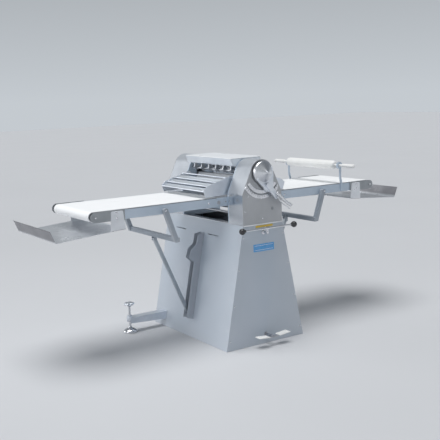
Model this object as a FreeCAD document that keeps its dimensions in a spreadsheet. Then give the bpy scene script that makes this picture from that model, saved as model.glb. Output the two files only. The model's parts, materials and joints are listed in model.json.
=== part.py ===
import FreeCAD, Part
import math
import operator
import os
from types import SimpleNamespace

import Sketcher

# Reversible dough sheeter on a fixed stand, millimetres.
# X runs along the conveyor, Y from the operator's side to the back, Z up; the origin is the
# middle of the stand's footprint, on the floor.

V = FreeCAD.Vector
doc = FreeCAD.newDocument("DoughSheeter")

SIZES = {
    # stand
    "baseLength": 614,       # along X at the floor
    "baseWidth": 908,        # along Y
    "deckLength": 304,       # along X at the deck
    "baseHeight": 779,
    "panelGauge": 2,
    "postWidth": 22,
    # head
    "headMiddle": -20,       # Y of the belts' centre line
    "headWidth": 540,        # between the side plates
    "sidePlate": 10,
    "shoulderHeight": 970,
    "headHeight": 1181,
    "crownWidth": 112,       # flat top of the head's outline before it is rounded
    "crownRadius": 84,
    "rollerRadius": 43,
    "lowerRollerHeight": 905,
    "rollerGap": 4,
    # tables
    "foldOut": 224,          # fold pin, from the middle of the stand
    "beltAxis": 918,         # height of the belt rollers and of the fold pin
    "beltWidth": 500,
    "beltGauge": 3,
    "beltRoller": 27,
    "endRollerOut": 1073,
    "railHeight": 54,
    "railGauge": 6,
    "railEnd": 985,
    "tubeWidth": 28,         # square tube of the yokes
    "yokeHigh": 912,         # yoke bolt on the rail
    "yokeOut": 625,
    "crossOut": 550,         # cross tube of the yoke
    "crossHeight": 726,
    # struts and their channels
    "strutMiddle": -6,       # Y of both struts
    "strutTopOut": 535,
    "strutTopHeight": 694,
    "strutFootOut": 308,
    "strutFootHeight": 172,
    "strutWidth": 20,
    "channelGap": 40,
    "channelDepth": 50,
    "channelTop": 690,
    "channelBottom": 120,
    # guards
    "guardPinOut": 100,
    "guardPinHeight": 1062,
    "guardGauge": 3,
    # thickness lever
    "dialHeight": 1100,
    "dialRadius": 73,
    "leverDrop": 50,         # degrees below level, to the right
    "leverReach": 185,
    "leverAside": -36,       # the arm's centre line, beside the dial's middle
    # tilting rod and pedal on the front
    "pivotHeight": 725,
    "rodHeight": 752,
    "pedalHeight": 60,
    # stabilising foot
    "footOut": 564,
    "footBack": 340,
    # rolling bracket on the right table
    "pinOut": 785,
    "pinHeight": 1075,
    "pinRadius": 31,
    "pinMiddle": -4,
    "pinLength": 516,
}

sheet = doc.addObject("Spreadsheet::Sheet", "Sizes")
for row, (word, number) in enumerate(SIZES.items(), start=1):
    sheet.set(f"A{row}", word)
    sheet.set(f"B{row}", str(number))
    sheet.setAlias(f"B{row}", word)
doc.recompute()


class Length:
    """A size held twice: as a number, and as the sheet formula that it comes from."""

    def __init__(self, number, formula):
        self.number = number
        self.formula = formula

    def __add__(self, other):
        return worked_out(self, "+", other)

    def __radd__(self, other):
        return worked_out(other, "+", self)

    def __sub__(self, other):
        return worked_out(self, "-", other)

    def __rsub__(self, other):
        return worked_out(other, "-", self)

    def __mul__(self, other):
        return worked_out(self, "*", other)

    def __rmul__(self, other):
        return worked_out(other, "*", self)

    def __truediv__(self, other):
        return worked_out(self, "/", other)

    def __neg__(self):
        return worked_out(0, "-", self)


SIGNS = {"+": operator.add, "-": operator.sub, "*": operator.mul, "/": operator.truediv}


def length(amount):
    return amount if isinstance(amount, Length) else Length(amount, f"({amount:.6f})")


def worked_out(left, sign, right):
    left, right = length(left), length(right)
    number = SIGNS[sign](left.number, right.number)
    return Length(number, f"({left.formula} {sign} {right.formula})")


S = SimpleNamespace(**{word: Length(number, f"Sizes.{word}") for word, number in SIZES.items()})


# ---- ways of making a piece ----

nodes = {}


def bind(thing, path, amount):
    thing.setExpression(path, length(amount).formula)


def place(thing, at, axis=None):
    """Put the piece's own origin at a point, with its Z turned to an axis."""
    if axis:
        thing.Placement = FreeCAD.Placement(V(0, 0, 0), FreeCAD.Rotation(V(0, 0, 1), V(*axis)))
    for letter, amount in zip("xyz", at):
        bind(thing, f"Placement.Base.{letter}", amount)


def box(name, size, at):
    """A block; at is the middle of its bottom face."""
    block = doc.addObject("Part::Box", name)
    for side, amount in zip(("Length", "Width", "Height"), size):
        bind(block, side, amount)
    place(block, (at[0] - size[0] / 2, at[1] - size[1] / 2, at[2]))
    return block


def rod(name, radius, reach, at, axis=(0, 1, 0)):
    """A round bar that starts at a point and runs along an axis."""
    bar = doc.addObject("Part::Cylinder", name)
    bind(bar, "Radius", radius)
    bind(bar, "Height", reach)
    place(bar, at, axis)
    return bar


def drawn(body, role, wires, circles=()):
    """A sketch of closed outlines and round holes on one of the body's own planes."""
    sketch = body.newObject("Sketcher::SketchObject", f"{body.Name}_sketch")
    plane = next(item for item in body.Origin.OriginFeatures if item.Role == role)
    sketch.AttachmentSupport = (plane, [""])
    sketch.MapMode = "FlatFace"
    for wire in wires:
        points = [(length(u), length(w)) for u, w in wire]
        first = sketch.GeometryCount
        for here, there in zip(points, points[1:] + points[:1]):
            start, end = V(here[0].number, here[1].number, 0), V(there[0].number, there[1].number, 0)
            sketch.addGeometry(Part.LineSegment(start, end))
        for index in range(len(points)):
            after = first + (index + 1) % len(points)
            sketch.addConstraint(Sketcher.Constraint("Coincident", first + index, 2, after, 1))
        for index, point in enumerate(points):
            for kind, amount in zip(("DistanceX", "DistanceY"), point):
                rule = Sketcher.Constraint(kind, -1, 1, first + index, 1, amount.number)
                bind(sketch, f"Constraints[{sketch.addConstraint(rule)}]", amount)
    for u, w, radius in circles:
        u, w, radius = length(u), length(w), length(radius)
        circle = sketch.addGeometry(Part.Circle(V(u.number, w.number, 0), V(0, 0, 1), radius.number))
        for kind, amount in (("DistanceX", u), ("DistanceY", w)):
            rule = Sketcher.Constraint(kind, -1, 1, circle, 3, amount.number)
            bind(sketch, f"Constraints[{sketch.addConstraint(rule)}]", amount)
        rule = Sketcher.Constraint("Radius", circle, radius.number)
        bind(sketch, f"Constraints[{sketch.addConstraint(rule)}]", radius)
    return sketch


PLANES = {"XZ": ("XZ_Plane", "y", "xz"), "YZ": ("YZ_Plane", "x", "yz"), "XY": ("XY_Plane", "z", "xy")}


def edges_at(shape, letters, point):
    """Names of the edges that run straight through a corner of the outline."""
    found = []
    for number, edge in enumerate(shape.Edges, start=1):
        ends = [[getattr(end.Point, letter) for letter in letters] for end in edge.Vertexes]
        if len(ends) == 2 and all(math.dist(end, point) < 0.01 for end in ends):
            found.append(f"Edge{number}")
    return found


def pad(name, outline, start, end, plane="XZ", rounds=(), holes=(), circles=()):
    """A flat piece: an outline raised from start to end, with some corners rounded.

    rounds holds (radius, corner numbers) pairs, counted through the outline and then the holes.
    """
    role, normal, letters = PLANES[plane]
    body = doc.addObject("PartDesign::Body", name)
    wires = [outline, *holes]
    raised = body.newObject("PartDesign::Pad", f"{name}_pad")
    raised.Profile = drawn(body, role, wires, circles)
    bind(raised, "Length", end - start)
    bind(body, f"Placement.Base.{normal}", end if plane == "XZ" else start)
    doc.recompute()
    corners = [[length(u).number, length(w).number] for wire in wires for u, w in wire]
    for radius, numbers in rounds:
        base = body.Tip
        edges = [edge for number in numbers for edge in edges_at(base.Shape, letters, corners[number])]
        fillet = body.newObject("PartDesign::Fillet", f"{name}_round")
        fillet.Base = (base, edges)
        bind(fillet, "Radius", radius)
        doc.recompute()
    return body


def hollowed(body, gauge, open_towards):
    """Turn a solid body into a sheet shell that is open on the sides named."""
    base = body.Tip
    faces = []
    for number, face in enumerate(base.Shape.Faces, start=1):
        if any(face.normalAt(0, 0).getAngle(V(*way)) < 0.01 for way in open_towards):
            faces.append(f"Face{number}")
    thick = body.newObject("PartDesign::Thickness", f"{body.Name}_thickness")
    thick.Base = (base, faces)
    thick.Reversed = True
    bind(thick, "Value", gauge)
    doc.recompute()
    return body


def turned(name, outline, at, axis=(0, 0, 1)):
    """A turned piece: (radius, height) points spun about its own Z."""
    body = doc.addObject("PartDesign::Body", name)
    spun = body.newObject("PartDesign::Revolution", f"{name}_turn")
    sketch = drawn(body, "XZ_Plane", [outline])
    spun.Profile = sketch
    spun.ReferenceAxis = (sketch, ["V_Axis"])
    spun.Angle = 360
    place(body, at, axis)
    return body


def joined(name, pieces):
    whole = doc.addObject("Part::MultiFuse", name)
    whole.Shapes = pieces
    return whole


def less(name, base, tools):
    """The base with every tool cut out of it."""
    cut = doc.addObject("Part::Cut", name)
    cut.Base = base
    cut.Tool = tools[0] if len(tools) == 1 else joined(f"{name}_tools", tools)
    return cut


def together(name, pieces):
    """Separate solids that share one node."""
    several = doc.addObject("Part::Compound", name)
    several.Links = pieces
    return several


def node(name, thing):
    thing.Label = name
    nodes[name] = thing


# ---- shared outlines ----

fit = 0.06               # running clearance on the radius of a shaft or pin

SIDES = (("left", -1), ("right", 1))
front_wall = S.headMiddle - S.headWidth / 2      # inner faces of the two side plates
rear_wall = S.headMiddle + S.headWidth / 2
front_end = -S.baseWidth / 2
rear_end = S.baseWidth / 2
belt_front = S.headMiddle - S.beltWidth / 2
belt_rear = S.headMiddle + S.beltWidth / 2
lean = (S.baseLength - S.deckLength) / 2 / S.baseHeight      # how far a side leans per mm of height


def flank(height):
    """X of the stand's sloping side at a height."""
    return S.baseLength / 2 - lean * height


def head_outline(inset=0):
    half = S.deckLength / 2 - inset
    crown = S.crownWidth / 2 - inset * 0.6
    return [
        (-half, S.baseHeight), (half, S.baseHeight), (half, S.shoulderHeight),
        (crown, S.headHeight - inset), (-crown, S.headHeight - inset), (-half, S.shoulderHeight),
    ]


def mirrored(sign, outline):
    return [(sign * u, w) for u, w in outline]


def slab(sign, out_near, out_far, low, high):
    """Corners of an upright rectangle on one side of the machine."""
    return mirrored(sign, [(out_near, low), (out_far, low), (out_far, high), (out_near, high)])


# ---- stand ----

def stand():
    bottom, gauge, post = 4, S.panelGauge, S.postWidth
    inner_end = rear_end - gauge
    pieces = [box("floor_plate", (S.baseLength - 8, S.baseWidth - 8, bottom), (0, 0, 0))]
    for side, sign in SIDES:
        foot, top = flank(0) - 6, flank(S.baseHeight) - 6
        slope = mirrored(sign, [(foot, 0), (top, S.baseHeight - 3), (top - post, S.baseHeight - 3),
                                (foot - post, 0)])
        pieces.append(pad(f"{side}_front_post", slope, gauge - rear_end, gauge - rear_end + post))
        pieces.append(pad(f"{side}_rear_post", slope, inner_end - post, inner_end))
        long_bar = (post, 2 * inner_end, post)
        rail_at = (sign * (top - post / 2 - 1), 0, S.baseHeight - 3 - post)
        pieces.append(box(f"{side}_top_rail", long_bar, rail_at))
    for name, y in (("front", gauge - rear_end + post / 2), ("rear", inner_end - post / 2)):
        short_bar = (S.deckLength - 20, post, post)
        pieces.append(box(f"{name}_top_rail", short_bar, (0, y, S.baseHeight - 3 - post)))
    for name, y in (("front", -120), ("rear", 150)):
        cradle = (2 * flank(230) - 20, 40, post)
        pieces.append(box(f"{name}_cradle", cradle, (0, y, 230)))
    for side, sign in SIDES:
        for name, y in (("front", -120), ("rear", 150)):
            pieces.append(box(f"{side}_{name}_leg", (post, 40, 240), (sign * 180, y, 0)))
    node("base_frame", joined("base_frame", pieces))

    slope = [(-flank(0), 0), (flank(0), 0), (flank(S.baseHeight - 3), S.baseHeight - 3),
             (-flank(S.baseHeight - 3), S.baseHeight - 3)]
    front = pad("front_panel", slope, front_end, front_end + gauge,
                circles=[(0, S.pivotHeight, 9 + fit), (0, S.pedalHeight, 9 + fit)])
    rear = pad("rear_panel", slope, rear_end - gauge, rear_end, circles=[(-120, 90, 11 + fit)])
    node("end_panels", together("end_panels", [front, rear]))

    panels = []
    for side, sign in SIDES:
        top = S.baseHeight - 3
        sheet_side = mirrored(sign, [(flank(0), 0), (flank(top), top), (flank(top) - gauge, top),
                                     (flank(0) - gauge, 0)])
        panel = pad(f"{side}_panel", sheet_side, -inner_end, inner_end)
        gap_height = S.channelTop - S.channelBottom - 30
        slot = box(f"{side}_panel_slot", (400, S.channelGap - 4, gap_height),
                   (sign * flank(400), S.strutMiddle, S.channelBottom + 15))
        vents = [box(f"{side}_vent_{index}", (90, 126, 4), (sign * flank(685), y, 683))
                 for index, y in enumerate((-135, 262))]
        panels.append(less(f"{side}_side_panel", panel, [slot, *vents]))
    node("side_panels", together("side_panels", panels))

    deck = box("deck_plate", (S.deckLength + 3, S.baseWidth + 3, 3), (0, 0, S.baseHeight - 3))
    well = box("deck_well", (220, 440, 9), (0, S.headMiddle, S.baseHeight - 6))
    chain_hole = box("deck_chain_hole", (130, 50, 9), (0, 330, S.baseHeight - 6))
    node("top_deck", less("top_deck", deck, [well, chain_hole]))


def strut_channels():
    """Two upright flanges on each flank, with a pocket where the folded table's strut rests."""
    channels = []
    wall = 3
    for side, sign in SIDES:
        low, high = S.channelBottom, S.channelTop
        pocket_low, pocket_high, deep = 515, 605, 40
        edge = [(flank(low), low), (flank(low) + S.channelDepth, low + 14)]
        edge += [(flank(pocket_low - 16) + S.channelDepth, pocket_low - 16)]
        edge += [(flank(pocket_low) + S.channelDepth + deep, pocket_low + 18)]
        edge += [(flank(pocket_high) + S.channelDepth + deep, pocket_high - 18)]
        edge += [(flank(pocket_high + 16) + S.channelDepth, pocket_high + 16)]
        edge += [(flank(high) + S.channelDepth, high - 8), (flank(high), high)]
        for name, y in (("front", S.strutMiddle - S.channelGap / 2 - wall),
                        ("rear", S.strutMiddle + S.channelGap / 2)):
            flange = pad(f"{side}_{name}_flange", mirrored(sign, edge), y, y + wall,
                         rounds=[(14, (2, 5)), (16, (3, 4))])
            channels.append(flange)
    node("strut_channels", together("strut_channels", channels))


# ---- head ----

def head():
    thick = S.sidePlate
    window = [(-33, 958), (33, 958), (33, 1102), (-33, 1102)]
    lower_hole = (0, S.lowerRollerHeight, 12 + fit)
    plates = []
    for name, start in (("front", front_wall - thick), ("rear", rear_wall)):
        pins = [(sign * S.guardPinOut, S.guardPinHeight, 6 + fit) for side, sign in SIDES]
        wall = pad(f"{name}_wall", head_outline(), start, start + thick, rounds=[(S.crownRadius, (3, 4))],
                   holes=[window], circles=[lower_hole, *pins])
        ears = []
        for side, sign in SIDES:
            ear_start = front_wall if name == "front" else rear_wall - 8
            low, high = S.beltAxis - S.railHeight / 2, S.beltAxis + S.railHeight / 2
            ear = pad(f"{side}_{name}_ear", slab(sign, 100, S.foldOut + 27, low, high), ear_start,
                      ear_start + 8, rounds=[(S.railHeight / 2 - 0.2, (1, 2))],
                      circles=[(sign * S.foldOut, S.beltAxis, 12 + fit)])
            ears.append(ear)
        plates.append(joined(f"{name}_side_plate", [wall, *ears]))
    node("side_plates", together("side_plates", plates))

    wraps = []
    for name, start, end in (("front", front_end + 2, front_wall - thick),
                             ("rear", rear_wall + thick, rear_end - 2)):
        wrap = pad(f"{name}_wrap", head_outline(), start, end, rounds=[(S.crownRadius, (3, 4))])
        wraps.append(hollowed(wrap, S.panelGauge, [(0, 1, 0), (0, -1, 0), (0, 0, -1)]))
    node("housing_wraps", together("housing_wraps", wraps))
    covers = [
        pad("front_cover_plate", head_outline(), front_end, front_end + 2,
            rounds=[(S.crownRadius, (3, 4))], circles=[(0, S.dialHeight, 12 + fit)]),
        pad("rear_cover_plate", head_outline(), rear_end - 2, rear_end, rounds=[(S.crownRadius, (3, 4))]),
    ]
    node("housing_covers", together("housing_covers", covers))

    ties = [rod(f"tie_{index}", 8, S.headWidth, (x, front_wall, z))
            for index, (x, z) in enumerate(((-75, 830), (75, 830), (-60, 1099.5), (60, 1099.5)))]
    for side, sign in SIDES:
        shape = mirrored(sign, [(50, 1086), (72, 1086), (84, 1106), (78, 1134), (64, 1134), (50, 1116)])
        for index, y in enumerate((-236, -150, -64, 22, 108, 194)):
            ties.append(pad(f"{side}_scraper_hook_{index}", shape, y, y + 10,
                            circles=[(sign * 60, 1099.5, 8)]))
    node("tie_bars", together("tie_bars", ties))

    plates = []
    for side, sign in SIDES:
        near, far = S.rollerRadius - 9, S.foldOut - S.beltRoller - S.beltGauge - 2
        top = S.beltAxis + S.beltRoller + S.beltGauge - 1
        shape = [(near, top - 9), (near + 12, top), (far, top), (far + 4, top - 3), (near + 16, top - 3)]
        plates.append(pad(f"{side}_feed_plate", mirrored(sign, shape), front_wall + 8.5, rear_wall - 8.5))
    node("feed_plates", together("feed_plates", plates))


def toothed(name, radius, teeth, start, end, height):
    """A gear or sprocket blank with square teeth round its rim, on a shaft along Y."""
    body = doc.addObject("PartDesign::Body", name)
    disc = body.newObject("PartDesign::Pad", f"{name}_disc")
    disc.Profile = drawn(body, "XZ_Plane", [], [(0, 0, radius - 4), (0, 0, 12 + fit)])
    bind(disc, "Length", end - start)
    tooth = body.newObject("PartDesign::Pad", f"{name}_tooth")
    outline = [(-2.4, radius - 6), (2.4, radius - 6), (1.4, radius - 0.2), (-1.4, radius - 0.2)]
    tooth.Profile = drawn(body, "XZ_Plane", [outline])
    bind(tooth, "Length", end - start)
    doc.recompute()
    ring = body.newObject("PartDesign::PolarPattern", f"{name}_ring")
    ring.Originals = [tooth]
    plane = next(item for item in body.Origin.OriginFeatures if item.Role == "Y_Axis")
    ring.Axis = (plane, [""])
    ring.Angle = 360
    ring.Occurrences = teeth
    body.Tip = ring
    place(body, (0, end, height))
    return body


def rollers_and_drive():
    low, high = S.lowerRollerHeight, S.lowerRollerHeight + 2 * S.rollerRadius + S.rollerGap
    clear, face = 1, S.headWidth - 2
    tails = (("lower_roller", low, 45, 75), ("upper_roller", high, 45, 22))
    for name, height, tail_front, tail_rear in tails:
        outline = [(0, -tail_front), (12, -tail_front), (12, clear), (S.rollerRadius, clear),
                   (S.rollerRadius, clear + face), (12, clear + face), (12, S.headWidth + tail_rear),
                   (0, S.headWidth + tail_rear)]
        node(name, turned(name, outline, (0, front_wall, height), (0, 1, 0)))
    gear_start = front_wall - 34
    gear_radius, gear_teeth, gear_face = S.rollerRadius + S.rollerGap / 2 - 0.5, 24, 16
    for name, height in (("lower_gear", low), ("upper_gear", high)):
        node(name, toothed(name, gear_radius, gear_teeth, gear_start, gear_start + gear_face, height))

    blocks = []
    for name, start in (("front", front_wall - S.sidePlate), ("rear", rear_wall)):
        outline = [(-32.9, high - 34), (32.9, high - 34), (32.9, high + 72), (-32.9, high + 72)]
        blocks.append(pad(f"{name}_bearing_block", outline, start, start + S.sidePlate,
                          circles=[(0, high, 12 + fit)]))
    beam = box("carriage_beam", (36, S.headWidth, 16), (0, S.headMiddle, high + 54))
    node("roller_carriage", joined("roller_carriage", [*blocks, beam]))
    blade = []
    for side, sign in SIDES:
        shape = [(18, high + 66), (S.rollerRadius + 13, high + 22), (S.rollerRadius + 1.2, high + 4),
                 (S.rollerRadius + 15, high + 20), (22, high + 69)]
        blade.append(pad(f"{side}_blade", mirrored(sign, shape), front_wall + 12, rear_wall - 12))
    node("upper_scrapers", together("upper_scrapers", blade))

    motor_height, drive_y, drive_height, floor_height = 340, 330, 340, 260
    motor = [(0, 0), (60, 0), (75, 12), (75, 190), (62, 196), (62, 228), (0, 228)]
    motor_body = turned("motor_body", motor, (0, -190, motor_height), (0, 1, 0))
    feet = box("motor_feet", (150, 150, motor_height - floor_height + 4), (0, -95, floor_height))
    node("drive_motor", joined("drive_motor", [motor_body, feet]))
    case = box("gear_case", (150, 150, 160), (0, 150, floor_height))
    nose = rod("gear_nose", 45, 40, (0, 38, motor_height))
    output = rod("gear_output", 30, 70, (0, 225, drive_height))
    node("gearbox", joined("gearbox", [case, nose, output]))
    wheel, hub = 41, 26
    shaft = [(0, 0), (10, 0), (10, 22), (hub, 22), (hub, 27), (wheel, 27), (wheel, 39), (10, 39),
             (10, 45), (0, 45)]
    node("drive_sprocket", turned("drive_sprocket", shaft, (0, drive_y - 34, drive_height), (0, 1, 0)))
    bore = 12 + fit
    driven = [(bore, 0), (hub, 0), (hub, 6), (wheel, 6), (wheel, 18), (bore, 18)]
    node("lower_sprocket", turned("lower_sprocket", driven, (0, drive_y - 13, low), (0, 1, 0)))
    outer, inner = [], []
    for loop, half in ((outer, 47), (inner, 41.5)):
        bottom, top = drive_height - half, low + half
        loop += [(-half, bottom), (half, bottom), (half, top), (-half, top)]
    node("drive_chain", pad("drive_chain", outer, drive_y - 6, drive_y + 4, holes=[inner],
                            rounds=[(46.7, range(4)), (41.2, range(4, 8))]))
    node("electrical_box", box("control_box", (180, 90, 240), (0, front_end + S.panelGauge + 45, 300)))
    stepped = [(5, -14), (11, -14), (11, 0), (17, 0), (17, 8), (14, 16), (11, 22), (5, 22)]
    node("cable_gland", turned("cable_gland", stepped, (-120, rear_end, 90), (0, 1, 0)))


# ---- folding tables ----

def table(side, sign):
    low, high = S.beltAxis - S.railHeight / 2, S.beltAxis + S.railHeight / 2
    rails, caps = [], []
    for name, inner in (("front", front_wall - 8), ("rear", rear_wall + 2)):
        shape = slab(sign, S.foldOut - 27, S.railEnd, low, high)
        rails.append(pad(f"{side}_{name}_rail", shape, inner, inner + S.railGauge,
                         rounds=[(S.railHeight / 2 - 0.2, (0, 3))],
                         circles=[(sign * S.foldOut, S.beltAxis, 12 + fit)]))
        outer = inner - 6 if name == "front" else inner + S.railGauge
        cap = slab(sign, 885, S.endRollerOut + 29, S.beltAxis - 30, S.beltAxis + 30)
        caps.append(pad(f"{side}_{name}_cap", cap, outer, outer + 6, rounds=[(29.8, (1, 2))],
                        circles=[(sign * S.endRollerOut, S.beltAxis, 8 + fit)]))
    node(f"{side}_rails", together(f"{side}_rails", rails))
    node(f"{side}_end_plates", together(f"{side}_end_plates", caps))

    run_start, run_end = S.foldOut + S.beltRoller + 3, S.endRollerOut - S.beltRoller - 3
    under = S.beltAxis + S.beltRoller - 0.3
    skin = slab(sign, run_start, run_end, under - 2.5, under)
    bed = [pad(f"{side}_bed_sheet", skin, belt_front + 2, belt_rear - 2)]
    for index, out in enumerate((330, 600, 870)):
        bar = slab(sign, out - 8, out + 8, low + 9, under - 2)
        bed.append(pad(f"{side}_bed_bar_{index}", bar, front_wall - 2, rear_wall + 2))
    node(f"{side}_bed", joined(f"{side}_bed", bed))

    radius, tail = S.beltRoller, 9
    drive = [(0, -tail), (12, -tail), (12, 16), (radius - 0.3, 16), (radius - 0.3, S.headWidth - 16),
             (12, S.headWidth - 16), (12, S.headWidth + tail), (0, S.headWidth + tail)]
    roller_at = (sign * S.foldOut, front_wall, S.beltAxis)
    node(f"{side}_drive_roller", turned(f"{side}_drive_roller", drive, roller_at, (0, 1, 0)))
    tail = 17
    end = [(0, -tail), (8, -tail), (8, 16), (radius - 0.3, 16), (radius - 0.3, S.headWidth - 16),
           (8, S.headWidth - 16), (8, S.headWidth + tail), (0, S.headWidth + tail)]
    roller_at = (sign * S.endRollerOut, front_wall, S.beltAxis)
    node(f"{side}_end_roller", turned(f"{side}_end_roller", end, roller_at, (0, 1, 0)))
    outer, inner = S.beltRoller + S.beltGauge, S.beltRoller
    loop = slab(sign, S.foldOut - outer, S.endRollerOut + outer, S.beltAxis - outer, S.beltAxis + outer)
    hollow = slab(sign, S.foldOut - inner, S.endRollerOut + inner, S.beltAxis - inner, S.beltAxis + inner)
    node(f"{side}_belt", pad(f"{side}_belt", loop, belt_front, belt_rear, holes=[hollow],
                             rounds=[(outer - 0.2, range(4)), (inner - 0.2, range(4, 8))]))

    yoke(side, sign)
    strut(side, sign)
    catch_tray(side, sign)
    guard(side, sign)

    heads = []
    bolts = ((S.yokeOut, S.yokeHigh, 36), (300, S.beltAxis, 8), (940, S.beltAxis + 16, 16),
             (940, S.beltAxis - 16, 16), (S.endRollerOut, S.beltAxis, 17))
    for index, (out, height, proud) in enumerate(bolts):
        for name, y, way in (("front", front_wall - proud, -1), ("rear", rear_wall + proud, 1)):
            heads.append(turned(f"{side}_{name}_bolt_{index}", [(0, 0), (6, 0), (6, 2.4), (4, 4), (0, 4)],
                                (sign * out, y, height), (0, way, 0)))
    node(f"{side}_table_bolts", together(f"{side}_table_bolts", heads))


def yoke(side, sign):
    """The square-tube U under a table that the strut pushes on."""
    wide = S.tubeWidth
    leg = mirrored(sign, [(S.yokeOut - 14, S.yokeHigh + 14), (S.crossOut - 14, S.crossHeight - 14),
                          (S.crossOut + 16, S.crossHeight - 14), (S.yokeOut + 16, S.yokeHigh + 14)])
    front_leg, rear_leg = front_wall - 8 - wide, rear_wall + 8
    legs = [pad(f"{side}_{name}_leg", leg, start, start + wide, rounds=[(12, (0, 3))])
            for name, start in (("front", front_leg), ("rear", rear_leg))]
    cross = box(f"{side}_cross_tube", (wide, rear_leg + wide - front_leg, wide),
                (sign * S.crossOut, (front_leg + rear_leg + wide) / 2, S.crossHeight - 14))
    ears = []
    for name, y in (("front", S.strutMiddle - 16), ("rear", S.strutMiddle + 11)):
        ear = slab(sign, S.strutTopOut - 12, S.strutTopOut + 10, S.strutTopHeight - 14, S.crossHeight)
        ears.append(pad(f"{side}_{name}_lug", ear, y, y + 5,
                        circles=[(sign * S.strutTopOut, S.strutTopHeight, 5 + fit)]))
    node(f"{side}_yoke", joined(f"{side}_yoke", [*legs, cross, *ears]))


def strut(side, sign):
    """A tube from the yoke down to the channel, with a pin at each end."""
    half = S.strutWidth / 2
    top, foot = (S.strutTopOut, S.strutTopHeight), (S.strutFootOut, S.strutFootHeight)
    run = math.dist([end.number for end in top], [end.number for end in foot])
    across = ((top[1] - foot[1]) / run, (foot[0] - top[0]) / run)
    along = (across[1], -across[0])
    corners = []
    for end, way, reach in ((top, 1, -6), (top, -1, -6), (foot, -1, 8), (foot, 1, 8)):
        corners.append(tuple(end[i] + way * half * across[i] + reach * along[i] for i in (0, 1)))
    tube = pad(f"{side}_strut_tube", mirrored(sign, corners), S.strutMiddle - half, S.strutMiddle + half,
               rounds=[(6, range(4))])
    top_pin = rod(f"{side}_strut_pin", 5, 36, (sign * S.strutTopOut, S.strutMiddle - 18, S.strutTopHeight))
    foot_at = (sign * S.strutFootOut, S.strutMiddle - 17, S.strutFootHeight)
    foot_pin = rod(f"{side}_strut_foot", 9, 34, foot_at)
    node(f"{side}_strut", joined(f"{side}_strut", [tube, top_pin, foot_pin]))


def catch_tray(side, sign):
    """A bent sheet that hangs below the belt's end, with its two hanger plates."""
    gauge = 2
    floor = [(885, 832), (1322, 799), (1351, 870), (1349, 871), (1320.5, 801.5), (885.2, 834)]
    sheet_bend = pad(f"{side}_tray_sheet", mirrored(sign, floor), front_wall - 16, rear_wall + 16,
                     rounds=[(10, (1,)), (8, (4,))])
    hangers = []
    for name, y in (("front", front_wall - 16), ("rear", rear_wall + 16 - gauge)):
        plate = mirrored(sign, [(885, 832), (981, 826), (975, 944), (898, 944)])
        hangers.append(pad(f"{side}_{name}_hanger", plate, y, y + gauge))
    node(f"{side}_catch_tray", joined(f"{side}_catch_tray", [sheet_bend, *hangers]))


def guard(side, sign):
    """The finger guard: two side plates, four round bars and the strips between them."""
    gauge = S.guardGauge
    pin_out, pin_height = S.guardPinOut, S.guardPinHeight
    outline = mirrored(sign, [(pin_out - 12, pin_height + 12), (147, 960), (306, 954), (322, 1000),
                              (285, 1030), (pin_out + 12, pin_height + 13)])
    front, rear = front_wall + 14, rear_wall - 6 - gauge
    pieces = [pad(f"{side}_{name}_guard_plate", outline, y, y + gauge, rounds=[(8, (0, 3))])
              for name, y in (("front", front), ("rear", rear))]
    bars = ((315, 994), (277, 1021), (219, 1043), (150, 1066))
    for index, (out, height) in enumerate(bars):
        pieces.append(rod(f"{side}_guard_bar_{index}", 5, rear - front, (sign * out, front + 1, height)))
    for index, (out, height) in enumerate(((296, 1003), (247, 1026), (184, 1048))):
        strip = mirrored(sign, [(out - 17, height + 4), (out + 17, height - 9), (out + 18, height - 7.5),
                                (out - 16, height + 5.5)])
        pieces.append(pad(f"{side}_guard_strip_{index}", strip, front + 1, rear + 1))
    for name, y in (("front", front_wall - 8), ("rear", rear_wall - 14)):
        pieces.append(rod(f"{side}_{name}_guard_pin", 6, 22, (sign * pin_out, y, pin_height)))
    node(f"{side}_guard", joined(f"{side}_guard", pieces))


# ---- flour tray on the head ----

def flour_tray():
    low, high = 1136, 1182
    outline = [(-102, low), (102, low), (119, high), (-119, high)]
    tray = pad("flour_trough", outline, front_wall + 1, rear_wall - 1)
    node("flour_tray", hollowed(tray, S.panelGauge, [(0, 0, 1)]))
    lid = pad("flour_lid", [(-122, high + 0.5), (122, high + 0.5), (122, high + 5), (-122, high + 5)],
              front_wall - 2, rear_wall + 2, rounds=[(2, (2, 3))])
    node("flour_lid", lid)


# ---- thickness lever ----

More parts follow.
